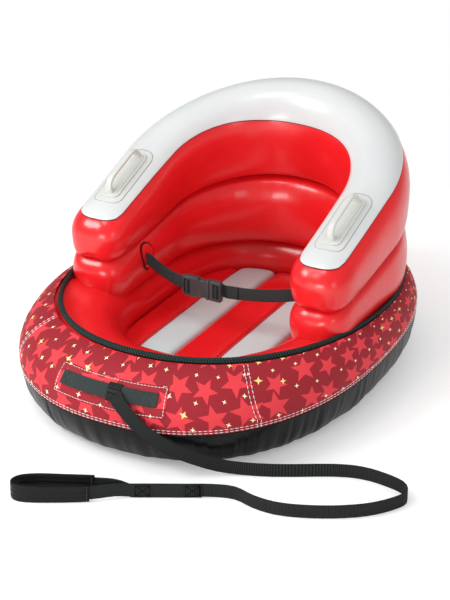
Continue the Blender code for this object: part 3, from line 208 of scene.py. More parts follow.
def superellipse(half_x, half_y, power, angle):
    c, s = math.cos(angle), math.sin(angle)
    return Vector((
        half_x * math.copysign(abs(c) ** (2 / power), c),
        half_y * math.copysign(abs(s) ** (2 / power), s),
        0,
    ))


MERGE = (bpy.ops.mesh.remove_doubles, {"threshold": 0.00002})
FILL = (bpy.ops.mesh.fill_holes, {"sides": 0})
FACE_OUT = (bpy.ops.mesh.normals_make_consistent, {"inside": False})
FLIP = (bpy.ops.mesh.flip_normals, {})


def edit_all(*steps):
    """Takes mesh steps, each with its settings, on the whole of the active piece."""
    bpy.ops.object.mode_set(mode="EDIT")
    bpy.ops.mesh.select_all(action="SELECT")
    for step, settings in steps:
        step(**settings)
    bpy.ops.object.mode_set(mode="OBJECT")


def cut_to(width, height):
    """Places on a cut of this size, in metres."""
    return lambda u, v: (u * width, v * height)


def formed(name, columns, rows, place, spread, closed=True):
    """Adds a flat grid and lays each point on the piece's form, as cut film is laid on a mould. Spread gives
    the cut's own place in metres, which the patterns follow."""
    clear_selection()
    bpy.ops.mesh.primitive_grid_add(x_subdivisions=columns, y_subdivisions=rows, size=2)
    piece = bpy.context.object
    piece.name = name
    piece.data.name = name
    for point in piece.data.vertices:
        point.co = place((point.co.x + 1) / 2, (point.co.y + 1) / 2)
    for corner in piece.data.uv_layers.active.data:
        corner.uv = spread(*corner.uv)
    edit_all(*((MERGE, FILL, FACE_OUT) if closed else (FLIP,)))
    bpy.ops.object.shade_smooth()
    return piece


def fit(piece, material, slot, *nodes, body="tube"):
    """Gives a piece its finish and its place in the frame."""
    piece.data.materials.clear()
    piece.data.materials.append(material)
    if body:
        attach(piece, body)
    if nodes:
        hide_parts(*nodes)
    return piece


BORE_HALF_WIDTH = 0.1695
BORE_MIDDLE_Y = 0.045
# Half length and roundness of the bore's front and back
BORE_FRONT = (0.235, 2.8)
BORE_BACK = (0.256, 3.2)
RING_WALL = (0.312, 0.406)
TUB_POWER = 2.29
RING_FOOT = 0.004
RING_TOP = 0.1165
RIM_SLOPE = 0.058


def smooth_step(start, end, value):
    share = min(max((value - start) / (end - start), 0), 1)
    return share * share * (3 - 2 * share)


def ring_skin(along, around):
    """The ring lies low under the chair, swells up in front of the arms, where nothing presses on it, and
    fills the cover to the rim on its outer side."""
    angle = TURN * along
    bore = superellipse(BORE_HALF_WIDTH, *(BORE_FRONT if math.sin(angle) < 0 else BORE_BACK), angle)
    bore.y += BORE_MIDDLE_Y
    wall = superellipse(*RING_WALL, TUB_POWER, angle)
    middle, half = (bore + wall) / 2, (wall - bore) / 2
    swell = 0.0255 * smooth_step(0.0, -0.11, middle.y)
    top = RING_TOP + swell - 0.007 * smooth_step(-0.22, -0.31, middle.y)
    turn = TURN * around
    shoulder = 2.15 + 1.6 * max(math.cos(turn), 0) * max(math.sin(turn), 0)
    flat = superellipse(1, (top - RING_FOOT) / 2, shoulder, turn)
    open_side = smooth_step(0.0, -0.09, middle.y)
    below_rim = 0.137 + 0.015 * open_side - RIM_SLOPE * middle.y
    hug = max(below_rim - top, 0) * smooth_step(-0.05, 0.65, flat.x)
    hug *= max(math.sin(turn), 0) ** (1 - 0.5 * open_side)
    return middle + half * flat.x + Vector((0, 0, (top + RING_FOOT) / 2 + flat.y + hug))


ring = formed("ring_chamber", 220, 56, ring_skin, cut_to(1.5, 0.4))
fit(ring, RED_FILM, "red_vinyl", "base_ring")


# Floor: five air channels side by side, welded from red and white film. Each stands up as a long flat
# pillow that follows the bore at its ends, and the welds between them read as narrow grooves.
FLOOR_HALF_WIDTH = 0.175
FLOOR_HALF_LENGTH = 0.2855
FLOOR_CENTRE_Y = 0.0155
FLOOR_POWER = 3.2
CHANNEL_HALF_HEIGHT = 0.030
CHANNEL_Z = 0.0323
CHANNEL_LENGTH = 0.54
CHANNEL_END = 0.011
END_ROUND = 2.6
WELD_GROOVE = 0.0002
RING_EASE = 0.0042
STRIPE_FILM = film("stripe_pvc_film", "#CBE4E4", 0.32, "#C6E0E0")


def floor_reach(x, side):
    share = min(abs(x) / FLOOR_HALF_WIDTH, 1)
    return FLOOR_CENTRE_Y + side * FLOOR_HALF_LENGTH * (1 - share ** FLOOR_POWER) ** (1 / FLOOR_POWER)


def channel_skin(left, right):
    middle, half = (left + right) / 2, (right - left) / 2 - WELD_GROOVE

    def place(along, around):
        share = 0.5 - 0.5 * math.cos(math.pi * along)
        inset = min(share, 1 - share) * CHANNEL_LENGTH
        cap = max(1 - (1 - min(inset / CHANNEL_END, 1)) ** END_ROUND, 0) ** (1 / END_ROUND)
        swell = (1 - abs(2 * share - 1) ** 6) ** 0.5
        rise = (0.75 + 0.25 * swell) * (0.35 + 0.65 * cap)
        draw = (0.96 + 0.04 * swell) * (0.86 + 0.14 * cap)
        if inset == 0:
            rise = draw = 0.0
        flat = superellipse(half * draw, CHANNEL_HALF_HEIGHT * rise, 5.6, TURN * around)
        x = middle + flat.x
        front, back = floor_reach(x, -1) + RING_EASE, floor_reach(x, 1) - RING_EASE
        crown = 0.0007 * wander(x * 30, share * 9, 1.0) if flat.y > 0 else 0
        return Vector((x, front + (back - front) * share, CHANNEL_Z + flat.y + crown))
    return place


for name, left, right, film_used, slot in (
    ("floor_side_left", -0.1671, -0.1120, RED_FILM, "red_vinyl"),
    ("floor_stripe_left", -0.1120, -0.0400, STRIPE_FILM, "white_vinyl"),
    ("floor_centre", -0.0400, 0.0400, RED_FILM, "red_vinyl"),
    ("floor_stripe_right", 0.0400, 0.1120, STRIPE_FILM, "white_vinyl"),
    ("floor_side_right", 0.1120, 0.1671, RED_FILM, "red_vinyl"),
):
    channel = formed(name + "_pillow", 90, 40, channel_skin(left, right), cut_to(0.55, 0.2))
    fit(channel, film_used, slot, name)


# Chair: two red film tubes bent round the back and welded one on the other. The upper tube rises to the
# back; both press flat where they meet and pucker there.
ARM_X = 0.2255
TUBE_HALF = 0.059
TIP_Y = -0.0982
BEND_Y = 0.1243
BACK_Y = 0.3498
TIP_LENGTH = 0.062
TIP_POWER = 2.7
TUBE_POWER = 2.2
TUBE_FOOT = 0.1125
CREASE_OVERLAP = 0.006
CREASE_GAP = 0.0003


def rise_share(y):
    return min(max((y - TIP_Y) / (BACK_Y - TIP_Y), 0), 1)


def crease_height(y, out=0.0):
    share = rise_share(y)
    return 0.187 + 0.075 * share + 0.009 * (1 - share) ** 4 + 0.35 * share ** 0.5 * out


def top_height(y):
    return 0.275 + 0.165 * rise_share(y) ** 1.1


def arm_station(side, y, scale=1.0):
    return Vector((side * ARM_X, y, 0)), Vector((side, 0, 0)), scale


def chair_station(along, start=TIP_Y, arm_share=0.24, gather=1.8):
    """Plan centre, outward direction and end scale at a share of the way from the left arm's start to the
    right one's. Stations gather at both ends."""
    if along < arm_share or along > 1 - arm_share:
        side = -1 if along < 0.5 else 1
        share = (along if along < 0.5 else 1 - along) / arm_share
        y = start + (BEND_Y - start) * share ** gather
        reach = min((y - TIP_Y) / TIP_LENGTH, 1)
        scale = max(1 - (1 - reach) ** TIP_POWER, 0) ** (1 / TIP_POWER)
        return arm_station(side, y, scale)
    turn = math.pi * (1 - (along - arm_share) / (1 - 2 * arm_share))
    outward = Vector((math.cos(turn), math.sin(turn), 0))
    return Vector((0, BEND_Y, 0)) + outward * ARM_X, outward, 1.0


def tube_point(station, turn, tier, depth=0.0):
    """A point of a tube's skin. Turn 0 looks out of the chair and pi into the seat."""
    centre, outward, scale = station
    crease = crease_height(centre.y)
    low, high = TUBE_FOOT, crease + CREASE_OVERLAP
    if tier == "upper":
        low, high = crease - CREASE_OVERLAP, top_height(centre.y)
    half_height = (high - low) / 2
    below = max(-math.sin(turn), 0)
    facing_crease = max(math.sin(turn), 0) if tier == "lower" else below
    power = TUBE_POWER + 3.4 * below ** 2 + 2.4 * facing_crease * max(math.cos(turn), 0)
    flat = superellipse(TUBE_HALF - depth, half_height - depth, power, turn)
    z = (low + high) / 2 + flat.y * scale ** (1 - 0.6 * below)
    join = crease_height(centre.y, flat.x * scale)
    z = min(z, join - CREASE_GAP) if tier == "lower" else max(z, join + CREASE_GAP)
    point = centre + outward * flat.x * scale
    point.z = z
    return point


def pucker(point, station, tier):
    """How far the film is drawn in: small folds that run out from the crease and lobes on the arms' ends."""
    centre, outward, scale = station
    out = (point - centre).dot(outward)
    gap = abs(point.z - crease_height(centre.y, out))
    near = math.exp(-gap / 0.012) * (1 - math.exp(-gap / 0.002))
    run = centre.x * 31 + centre.y * 37 + (7 if tier == "upper" else 0)
    fold = wander(run, 0.3 * out / TUBE_HALF, 2.0)
    fold += 0.5 * wander(run * 2.3, 0, 5.0)
    tip = max(1 - (centre.y - TIP_Y) / TIP_LENGTH, 0) if scale < 1 else 0
    lobe = tip * math.exp(-(out / 0.016) ** 2) * 0.003
    return near * (0.0016 + 0.001 * tip) * fold - lobe


def tube_skin(tier):
    def place(along, around):
        station = chair_station(along)
        turn = TURN * around
        point = tube_point(station, turn, tier)
        if station[2] < 0.02:
            return point
        facing = (station[1] * math.cos(turn) + Vector((0, 0, math.sin(turn)))).normalized()
        return point + facing * pucker(point, station, tier)
    return place


for tier in ("lower", "upper"):
    tube = formed("chair_tube_" + tier, 260, 72, tube_skin(tier), cut_to(1.15, 0.34))
    fit(tube, RED_FILM, "red_vinyl", "back_tube_" + tier)


# Top panel: a strip of white film welded on the crown of the upper tube, from one arm to the other, with
# half ovals as ends. The weld shows as a thin dark red line along its edge.
PANEL_FRONT = TIP_Y + 0.0175
PANEL_ROUND = 0.030
PANEL_POWER = 2.4


def panel_edges(y):
    share = rise_share(y)
    return math.radians(51 - 7 * share), math.radians(132 + 33 * share ** 2.6)


def panel_skin(lift, margin):
    def place(along, across):
        oval = (1 - abs(2 * across - 1) ** PANEL_POWER) ** (1 / PANEL_POWER)
        station = chair_station(along, PANEL_FRONT + PANEL_ROUND * (1 - oval), 0.3, 2)
        if along in (0, 1):
            station[0].y -= margin
        outer, inner = panel_edges(station[0].y)
        turn = outer - margin / TUBE_HALF + (inner - outer + 2 * margin / TUBE_HALF) * across
        return tube_point(station, turn, "upper", -lift)
    return place


def eased(piece, width, sharper, harden=False):
    """Rounds the edges of the active piece that turn by more than this many degrees."""
    ease = piece.modifiers.new("ease", "BEVEL")
    ease.width = width
    ease.segments = 2
    ease.limit_method = "ANGLE"
    ease.angle_limit = math.radians(sharper)
    ease.harden_normals = harden
    bpy.ops.object.modifier_apply(modifier="ease")


def thickened(piece, thickness, edge=0.0):
    """Gives a skin its thickness inwards and eases its cut edge."""
    bpy.context.view_layer.objects.active = piece
    wall = piece.modifiers.new("wall", "SOLIDIFY")
    wall.thickness = thickness
    wall.offset = -1
    bpy.ops.object.modifier_apply(modifier="wall")
    if edge:
        eased(piece, edge, 50)
    bpy.ops.object.shade_smooth()
    return piece


PANEL_CUT = cut_to(1.1, 0.11)
top_panel = formed("top_panel_skin", 260, 32, panel_skin(0.0022, 0.0), PANEL_CUT, closed=False)
thickened(top_panel, 0.0014, 0.0004)
fit(top_panel, WHITE_FILM, "white_vinyl", "top_panel")
WELD_RED = film("weld_line_red", "#7A0F13", 0.4, "#6E0D11")
weld = formed("top_panel_weld_line", 260, 32, panel_skin(0.0014, 0.0009), PANEL_CUT, closed=False)
thickened(weld, 0.0008)
fit(weld, WELD_RED, "red_vinyl")


# Handles: an off-white moulding of soft PE, with a base plate, a raised pad and an arched grip, on a white
# film patch that is welded to the arm. The weld shows as a thin grey line round the patch.
HANDLE_Y = 0.028
# Of each plate: length, width, corner radius, lift over the film, thickness and eased edge
PATCH_PLATE = (0.152, 0.052, 0.0173, 0.0026, 0.0012, 0.0004)
PATCH_WELD = (0.1544, 0.0544, 0.0185, 0.00245, 0.0008, 0.0)
BASE_PLATE = (0.128, 0.034, 0.0113, 0.0052, 0.0026, 0.0008)
RAISED_PAD = (0.117, 0.024, 0.0080, 0.0062, 0.0012, 0.0005)
GRIP_HALF_LENGTH = 0.053
GRIP_TOP = 0.02425
GRIP_LIFT = 0.0048
SIDES = ((-1, "left"), (1, "right"))


def grained(name, colour, roughness, shine, scale, strength, depth):
    """A finish of one colour on a skin with a fine grain."""
    made, tree, shader = finish_named(name, {
        "Base Color": linear(colour), "Roughness": roughness, "Specular IOR Level": shine,
    })
    place = node(tree, "TexCoord").outputs["Object"]
    grain = node(tree, "TexNoise", {"Scale": scale, "Detail": 2.0, "Vector": place})
    bump = node(tree, "Bump", {"Strength": strength, "Distance": depth, "Height": grain})
    feed(shader, {"Normal": bump})
    return made


def moulded(name, colour, roughness, shine=0.5):
    """Moulded plastic: matt, waxy, with a fine eroded texture. Thread and weld lines are as matt."""
    return grained(name, colour, roughness, shine, 900.0, 0.2, 0.0002)


OFF_WHITE = moulded("off_white_pe", "#D0D2CC", 0.38)
PATCH_FILM = film("patch_pvc_film", "#D5D6D3", 0.36, "#D0D2CF")
WELD_GREY = moulded("weld_line_grey", "#A3A7A5", 0.5)


def plate_on_arm(name, side, length, width, corner, lift, thickness, edge):
    """A rounded oblong that lies on the arm's crown and takes its curve."""
    slope = math.atan2(top_height(HANDLE_Y + length / 2) - top_height(HANDLE_Y - length / 2), length)

    def place(along, across):
        v = (across - 0.5) * width
        inset = max(abs(v) - (width / 2 - corner), 0)
        reach = length / 2 - (corner - math.sqrt(max(corner ** 2 - inset ** 2, 0)))
        y = HANDLE_Y + (2 * along - 1) * reach * math.cos(slope)
        turn = math.acos(math.copysign(min(abs(v) / TUBE_HALF, 1) ** (TUBE_POWER / 2), v * side))
        return tube_point(arm_station(side, y), turn, "upper", -lift)

    plate = formed(name, 40, 16, place, cut_to(length, width), closed=False)
    return thickened(plate, thickness, edge)


def smooth_route(points, per_span):
    """Points of a smooth curve through the given points."""
    points = [Vector(p) for p in points]
    knots = [2 * points[0] - points[1]] + points + [2 * points[-1] - points[-2]]
    route = []
    for i in range(1, len(knots) - 2):
        before, start, end, after = knots[i - 1:i + 3]
        for step in range(per_span):
            t = step / per_span
            bend = (2 * before - 5 * start + 4 * end - after) * t * t
            twist = (3 * start - 3 * end + after - before) * t * t * t
            route.append((2 * start + (end - before) * t + bend + twist) / 2)
    route.append(points[-1].copy())
    return route


def tangents(route, closed=False):
    count = len(route)
    found = []
    for i in range(count):
        ahead = route[(i + 1) % count] if closed else route[min(i + 1, count - 1)]
        behind = route[i - 1] if closed else route[max(i - 1, 0)]
        found.append((ahead - behind).normalized())
    return found


def grip_bar(name, side):
    """The arched grip: a rounded flat bar that rises, runs along the arm and comes down."""
    half = GRIP_HALF_LENGTH
    shape = ((1, -0.25), (1, 0.30), (0.93, 0.68), (0.76, 0.93), (0.50, 1.0), (0, 1.0))
    knots = [Vector((0, -half * along, GRIP_TOP * up)) for along, up in shape]
    knots += [Vector((0, -k.y, k.z)) for k in reversed(knots[:-1])]
    crown = Vector((side * ARM_X, HANDLE_Y, top_height(HANDLE_Y) + GRIP_LIFT))
    slope = math.atan2(top_height(HANDLE_Y + half) - top_height(HANDLE_Y - half), 2 * half)
    lean = Matrix.Rotation(slope, 3, "X")
    route = smooth_route([crown + lean @ k for k in knots], 5)
    runs = tangents(route)

    def place(along, around):
        index = round(along * (len(route) - 1))
        face = Vector((1, 0, 0)).cross(runs[index]).normalized()
        flat = superellipse(0.0054, 0.0033, 3.6, TURN * around)
        foot = min(index, len(route) - 1 - index)
        spread = 1 + 0.9 * math.exp(-foot / 4)
        return route[index] + Vector((flat.x * spread, 0, 0)) + face * flat.y * spread

    return formed(name, len(route) - 1, 28, place, cut_to(0.17, 0.05))


def joined(first, *others):
    """Makes one piece of several."""
    clear_selection()
    for part in (first, *others):
        part.select_set(True)
    bpy.context.view_layer.objects.active = first
    bpy.ops.object.join()
    return first


for side, label in SIDES:
    patch = plate_on_arm("handle_patch_film_" + label, side, *PATCH_PLATE)
    fit(patch, PATCH_FILM, "white_vinyl", "handle_patch_" + label)
    weld = plate_on_arm("handle_weld_line_" + label, side, *PATCH_WELD)
    fit(weld, WELD_GREY, "moulded_white")
    base = plate_on_arm("handle_base_" + label, side, *BASE_PLATE)
    raised = plate_on_arm("handle_pad_" + label, side, *RAISED_PAD)
    grip = grip_bar("handle_grip_" + label, side)
    handle = joined(base, raised, grip)
    handle.name = "handle_moulding_" + label
    fit(handle, OFF_WHITE, "moulded_white", "handle_" + label)


# Webbing: the tow bar, the belt and the leash are 25 mm polyester webbing, woven with ribs across it. It is
# matt and near black, with a green cast on the belt and the bar, and the weave rounds its edges.
WEBBING_WIDTH = 0.025
WEBBING_THICKNESS = 0.0015
LEASH_THICKNESS = 0.0020
RIB_SPACING = 0.0022
END_SPACING = 0.0011
# A wave texture's scale is this over the spacing in metres
WAVE = math.pi / 10


def webbing_cloth(name, colour, thread):
    """Woven polyester: raised ribs across the strap, crossed by finer ends along it."""
    made, tree, shader = finish_named(name, {"Roughness": 0.75, "Specular IOR Level": 0.15})
    cut = node(tree, "TexCoord").outputs["UV"]
    ribs = node(tree, "TexWave", {
        "Vector": cut, "Scale": WAVE / RIB_SPACING, "Distortion": 0.5, "Detail": 1.0,
    }, bands_direction="X")
    ends = node(tree, "TexWave", {
        "Vector": cut, "Scale": WAVE / END_SPACING, "Distortion": 0.8, "Detail": 1.0,
    }, bands_direction="Y")
    weave = node(tree, "Math", {0: ribs.outputs["Fac"], 1: ends.outputs["Fac"]}, operation="MULTIPLY")
    ramp = node(tree, "ValToRGB", {"Fac": weave})
    ramp.color_ramp.elements[0].color = linear(colour)
    ramp.color_ramp.elements[1].color = linear(thread)
    bump = node(tree, "Bump", {"Strength": 0.6, "Distance": 0.0004, "Height": weave})
    feed(shader, {"Base Color": ramp, "Normal": bump})
    return made


BELT_WEBBING = webbing_cloth("belt_webbing", "#2A3131", "#4B5353")
LEASH_WEBBING = webbing_cloth("leash_webbing", "#151616", "#434545")


def length_of(route):
    return sum((b - a).length for a, b in zip(route, route[1:]))


def strap(name, route, faces, width, thickness, closed=False, columns=24, groove=0.0):
    """A flat strap laid along a route. Each face direction is square to its flat side, and a groove is the
    share of the thickness that two rows of stitches draw in."""
    runs = tangents(route, closed)
    count = len(route) if closed else len(route) - 1
    reach = length_of(route)

    def place(along, around):
        index = round(along * count) % len(route)
        across = runs[index].cross(faces[index]).normalized()
        share = math.cos(TURN * around)
        drawn = 1 - groove * math.exp(-((abs(share) - 0.30) / 0.075) ** 2)
        rise = drawn * thickness / 2 * max(1 - abs(share) ** 7, 0) ** (1 / 7)
        return route[index] + across * share * width / 2 + faces[index] * math.copysign(rise, 0.5 - around)

    def spread(u, v):
        return u * reach, width * (1 + math.cos(TURN * v)) / 2

    return formed(name, count, columns, place, spread)


def side_of(tangent):
    """The way the flat side of a standing strap looks."""
    return Vector((tangent.y, -tangent.x, 0)).normalized()


def upright_strap(name, points, width, thickness):
    """A strap on its edge, along a smooth curve through the points."""
    route = smooth_route(points, 3)
    return strap(name, route, [side_of(t) for t in tangents(route)], width, thickness)


# Belt anchors: an oval patch of red film on the seat side of each arm, with a thin dark weld line round it.
# The belt's end is held in the middle of the patch.
ANCHOR_Y = 0.010
ANCHOR_Z = 0.171
PATCH_OVAL = (0.0178, 0.0210, 0.0028)
LINE_OVAL = (0.0196, 0.0228, 0.0024)
WELD_DARK = moulded("weld_line_dark", "#3A090B", 0.6)


def anchor_patch(name, side, half_y, half_z, lift):
    """An oval skin, this much proud of the lower tube's seat side."""
    def place(along, around):
        y = ANCHOR_Y + along * half_y * math.cos(TURN * around)
        rise = along * half_z * math.sin(TURN * around)
        high = crease_height(ANCHOR_Y)
        middle, half = (TUBE_FOOT + high) / 2, (high - TUBE_FOOT) / 2
        turn = math.pi - (ANCHOR_Z - middle + rise) / half
        return tube_point(arm_station(side, y), turn, "lower", -lift)

    return formed(name, 6, 40, place, cut_to(0.03, 0.1))


for side, label in SIDES:
    line = anchor_patch("belt_patch_line_" + label, side, *LINE_OVAL)
    fit(line, WELD_DARK, "red_vinyl")
    patch = anchor_patch("belt_patch_" + label, side, *PATCH_OVAL)
    fit(patch, RED_FILM, "red_vinyl", "belt_anchor_" + label)


# Seat belt: a strap from each anchor to its half of the buckle. It sags a little, is threaded round both
# bars, and its end is folded back and sewn down. The right strap's folded end goes with the plug.
BELT = (
    # x on the left, x on the right, y and z
    (-0.1643, 0.1643, 0.0020, 0.1720), (-0.1581, 0.1581, 0.0020, 0.1720),
    (-0.1491, 0.1420, 0.0004, 0.1679), (-0.1401, 0.1259, -0.0013, 0.1637),
    (-0.1310, 0.1095, -0.0029, 0.1601), (-0.1214, 0.0924, -0.0047, 0.1571),
    (-0.1117, 0.0750, -0.0064, 0.1546), (-0.1023, 0.0581, -0.0082, 0.1527),
    (-0.0933, 0.0420, -0.0098, 0.1517), (-0.0847, 0.0265, -0.0114, 0.1514),
    (-0.0760, 0.0110, -0.0130, 0.1510), (-0.0683, 0.0033, -0.0130, 0.1510),
    (-0.0667, 0.0018, -0.0170, 0.1510), (-0.0667, 0.0018, -0.0230, 0.1510),
    (-0.0653, 0.0003, -0.0270, 0.1510), (-0.0627, -0.0022, -0.0273, 0.1510),
    (-0.0602, -0.0047, -0.0270, 0.1510), (-0.0587, -0.0063, -0.0230, 0.1510),
    (-0.0587, -0.0063, -0.0170, 0.1510), (-0.0602, -0.0047, -0.0111, 0.1510),
    (-0.0627, -0.0022, -0.0109, 0.1510), (-0.0725, 0.0075, -0.0109, 0.1510),
)
for column, label, body in ((0, "left", "tube"), (1, "right", None)):
    points = [(place[column], *place[2:]) for place in BELT]
    belt = upright_strap("belt_webbing_" + label, points, WEBBING_WIDTH, WEBBING_THICKNESS)
    fit(belt, BELT_WEBBING, "webbing", "belt_strap_" + label, body=body)
    if label == "right":
        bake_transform(belt)

FOLD_LEFT = ((-0.0775, -0.01440, 0.1510), (-0.0847, -0.01295, 0.1514), (-0.0933, -0.01135, 0.1517),
             (-0.1000, -0.01015, 0.1525))
FOLD_RIGHT = ((0.0125, -0.01450, 0.1510), (0.0265, -0.01295, 0.1514), (0.0375, -0.01180, 0.1516))
for points, label, body in ((FOLD_LEFT, "left", "tube"), (FOLD_RIGHT, "right", "plug")):
    fold = upright_strap("belt_fold_" + label, points, 0.0256, 0.0014)
    fit(fold, BELT_WEBBING, "webbing", body=body)


# Buckle: a side-release buckle of black acetal: a socket, and a plug with two sprung prongs. All four
# pieces keep their solids' shapes, with every edge eased as the mould leaves it.
ACETAL = moulded("black_acetal", "#3E4344", 0.4)


def eased_copy(cad_node, width):
    """Copies a moulded part's plain solid, joins its facets and rounds its edges."""
    clear_selection()
    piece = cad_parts[cad_node].copy()
    piece.data = piece.data.copy()
    piece.parent = None
    piece.name = cad_node + "_moulding"
    piece.data.name = piece.name
    bpy.context.scene.collection.objects.link(piece)
    piece.select_set(True)
    bpy.context.view_layer.objects.active = piece
    edit_all(MERGE, (bpy.ops.mesh.dissolve_limited, {"angle_limit": math.radians(2)}))
    eased(piece, width, 30, harden=True)
    bpy.ops.object.shade_smooth_by_angle(angle=math.radians(35))
    return piece


for cad_node, body in (
    ("buckle_socket", "tube"),
    ("buckle_plug", "plug"),
    ("buckle_prong_upper", "prong_upper"),
    ("buckle_prong_lower", "prong_lower"),
):
    fit(eased_copy(cad_node, 0.0005), ACETAL, "buckle_plastic", cad_node, body=body)


# Valves: one for each air chamber, of soft off-white PVC: a neck on a welded flange, and a plug cap on a
# tab. They keep their solids' shapes too.
VALVE_PVC = film("valve_pvc", "#EEEEEC", 0.35, "#E6E7E6")
for label in ("back", "ring", "floor"):
    for cad_node, body in (("valve_body_" + label, "tube"), ("valve_cap_" + label, "cap_" + label)):
        fit(eased_copy(cad_node, 0.0004), VALVE_PVC, "valve_vinyl", cad_node, body=body)


# Cover bottom: a tub of black coated cloth that slides on the snow, sewn to the printed panels above it.
# The seam gathers it into soft upright folds.
QUARTER = math.pi / 2
HALF_WIDTH = 0.326
HALF_LENGTH = 0.420
GIRTH = 0.092
RIM_Z = 0.146
RIM_CENTRE_Y = 0.04665
SEAM_Z = 0.0895
SEAM_SLOPE = 0.0324
STEP = 0.01
RIM_OVAL = (0.290, 0.37215, 2.12)
FOOT_OVAL = (0.272, 0.366, TUB_POWER)


def girth_point(angle):
    point = superellipse(HALF_WIDTH, HALF_LENGTH, TUB_POWER, angle)
    point.z = GIRTH
    return point


def rim_point(angle):
    point = superellipse(*RIM_OVAL, angle)
    point.z = RIM_Z - RIM_SLOPE * point.y
    point.y += RIM_CENTRE_Y
    return point


def foot_point(angle):
    return superellipse(*FOOT_OVAL, angle)


def cover_point(rim_angle, girth_angle, turn):
    """A point of the cover. Turn 0 is the rim, 1 the girth and 2 the foot."""
    share = min(turn, 1)
    angle = rim_angle * (1 - share) + girth_angle * share
    girth = girth_point(angle)
    if turn <= 1:
        rim = rim_point(angle)
        point = rim.lerp(girth, math.sin(turn * QUARTER))
        point.z = girth.z + (rim.z - girth.z) * math.cos(turn * QUARTER)
        return point
    point = foot_point(angle).lerp(girth, math.cos((turn - 1) * QUARTER))
    point.z = girth.z * (1 - math.sin((turn - 1) * QUARTER))
    return point


def cover_run(rim_angle, girth_angle, turn):
    """The way the cover runs round the tub."""
    return (cover_point(rim_angle + STEP, girth_angle + STEP, turn)
            - cover_point(rim_angle - STEP, girth_angle - STEP, turn))


def cover_normal(rim_angle, girth_angle, turn):
    down = (cover_point(rim_angle, girth_angle, min(turn + STEP, 2))
            - cover_point(rim_angle, girth_angle, max(turn - STEP, 0)))
    return down.cross(cover_run(rim_angle, girth_angle, turn)).normalized()


def seam_turn(girth_angle):
    """Where the printed panels meet the black bottom."""
    height = SEAM_Z + SEAM_SLOPE * (girth_point(girth_angle).y - RIM_CENTRE_Y)
    rim = rim_point(girth_angle).z
    if height >= GIRTH:
        return math.acos(min((height - GIRTH) / (rim - GIRTH), 1)) / QUARTER
    return 1 + math.asin(1 - max(height, 0) / GIRTH) / QUARTER


SEAM_RIM = math.radians(53)
SEAM_GIRTH = math.radians(45.6)
# Each panel from seam to seam: its angles at the rim, and at the girth
RUNS = {
    "left": ((-3 * QUARTER, -math.pi + SEAM_RIM), (-3 * QUARTER, -math.pi + SEAM_GIRTH)),
    "front": ((-math.pi + SEAM_RIM, -SEAM_RIM), (-math.pi + SEAM_GIRTH, -SEAM_GIRTH)),
    "right": ((-SEAM_RIM, QUARTER), (-SEAM_GIRTH, QUARTER)),
}


def angles_at(run, share):
    (rim_start, rim_end), (girth_start, girth_end) = RUNS[run]
    return rim_start + (rim_end - rim_start) * share, girth_start + (girth_end - girth_start) * share


def coated_cloth(name, colour, roughness, shine):
    """Polyester cloth with a smooth black coating: dull, with soft upright highlights on its folds."""
    return grained(name, colour, roughness, shine, 700.0, 0.3, 0.0003)


BLACK_COAT = coated_cloth("black_coated_cloth", "#121112", 0.26, 0.22)
WALL_SHARE = 0.8
FLOOR_SHARE = 0.2


def bottom_skin(along, down):
    """Folds hang from the seam; they are finest and deepest there, and bunched in places."""
    angle = -3 * QUARTER + 4 * QUARTER * along
    start = seam_turn(angle) + 0.002
    if down > WALL_SHARE:
        return foot_point(angle) * (1 - (down - WALL_SHARE) / FLOOR_SHARE)
    turn = start + (2 - start) * down / WALL_SHARE
    point = cover_point(angle, angle, turn)
    share = (turn - start) / (2 - start)
    hang = math.sin(math.pi * min(share * 1.15, 1)) ** 0.8
    wide = wander(angle * 17, share * 0.6, 1.0)
    fine = wander(angle * 44, share * 0.5, 4.0) * max(1 - 1.3 * share, 0)
    bunched = 0.5 + smooth_step(-0.15, 0.35, wander(angle * 6, 0, 8.0))
    point += cover_normal(angle, angle, turn) * (0.003 * wide + 0.0042 * fine * bunched) * hang
    point.z = max(point.z, 0.0)
    return point


bottom = formed("cover_bottom_cloth", 560, 40, bottom_skin, cut_to(2.3, 0.3), closed=False)
edit_all(MERGE)
thickened(bottom, 0.0011)
fit(bottom, BLACK_COAT, "black_cloth", "cover_bottom")


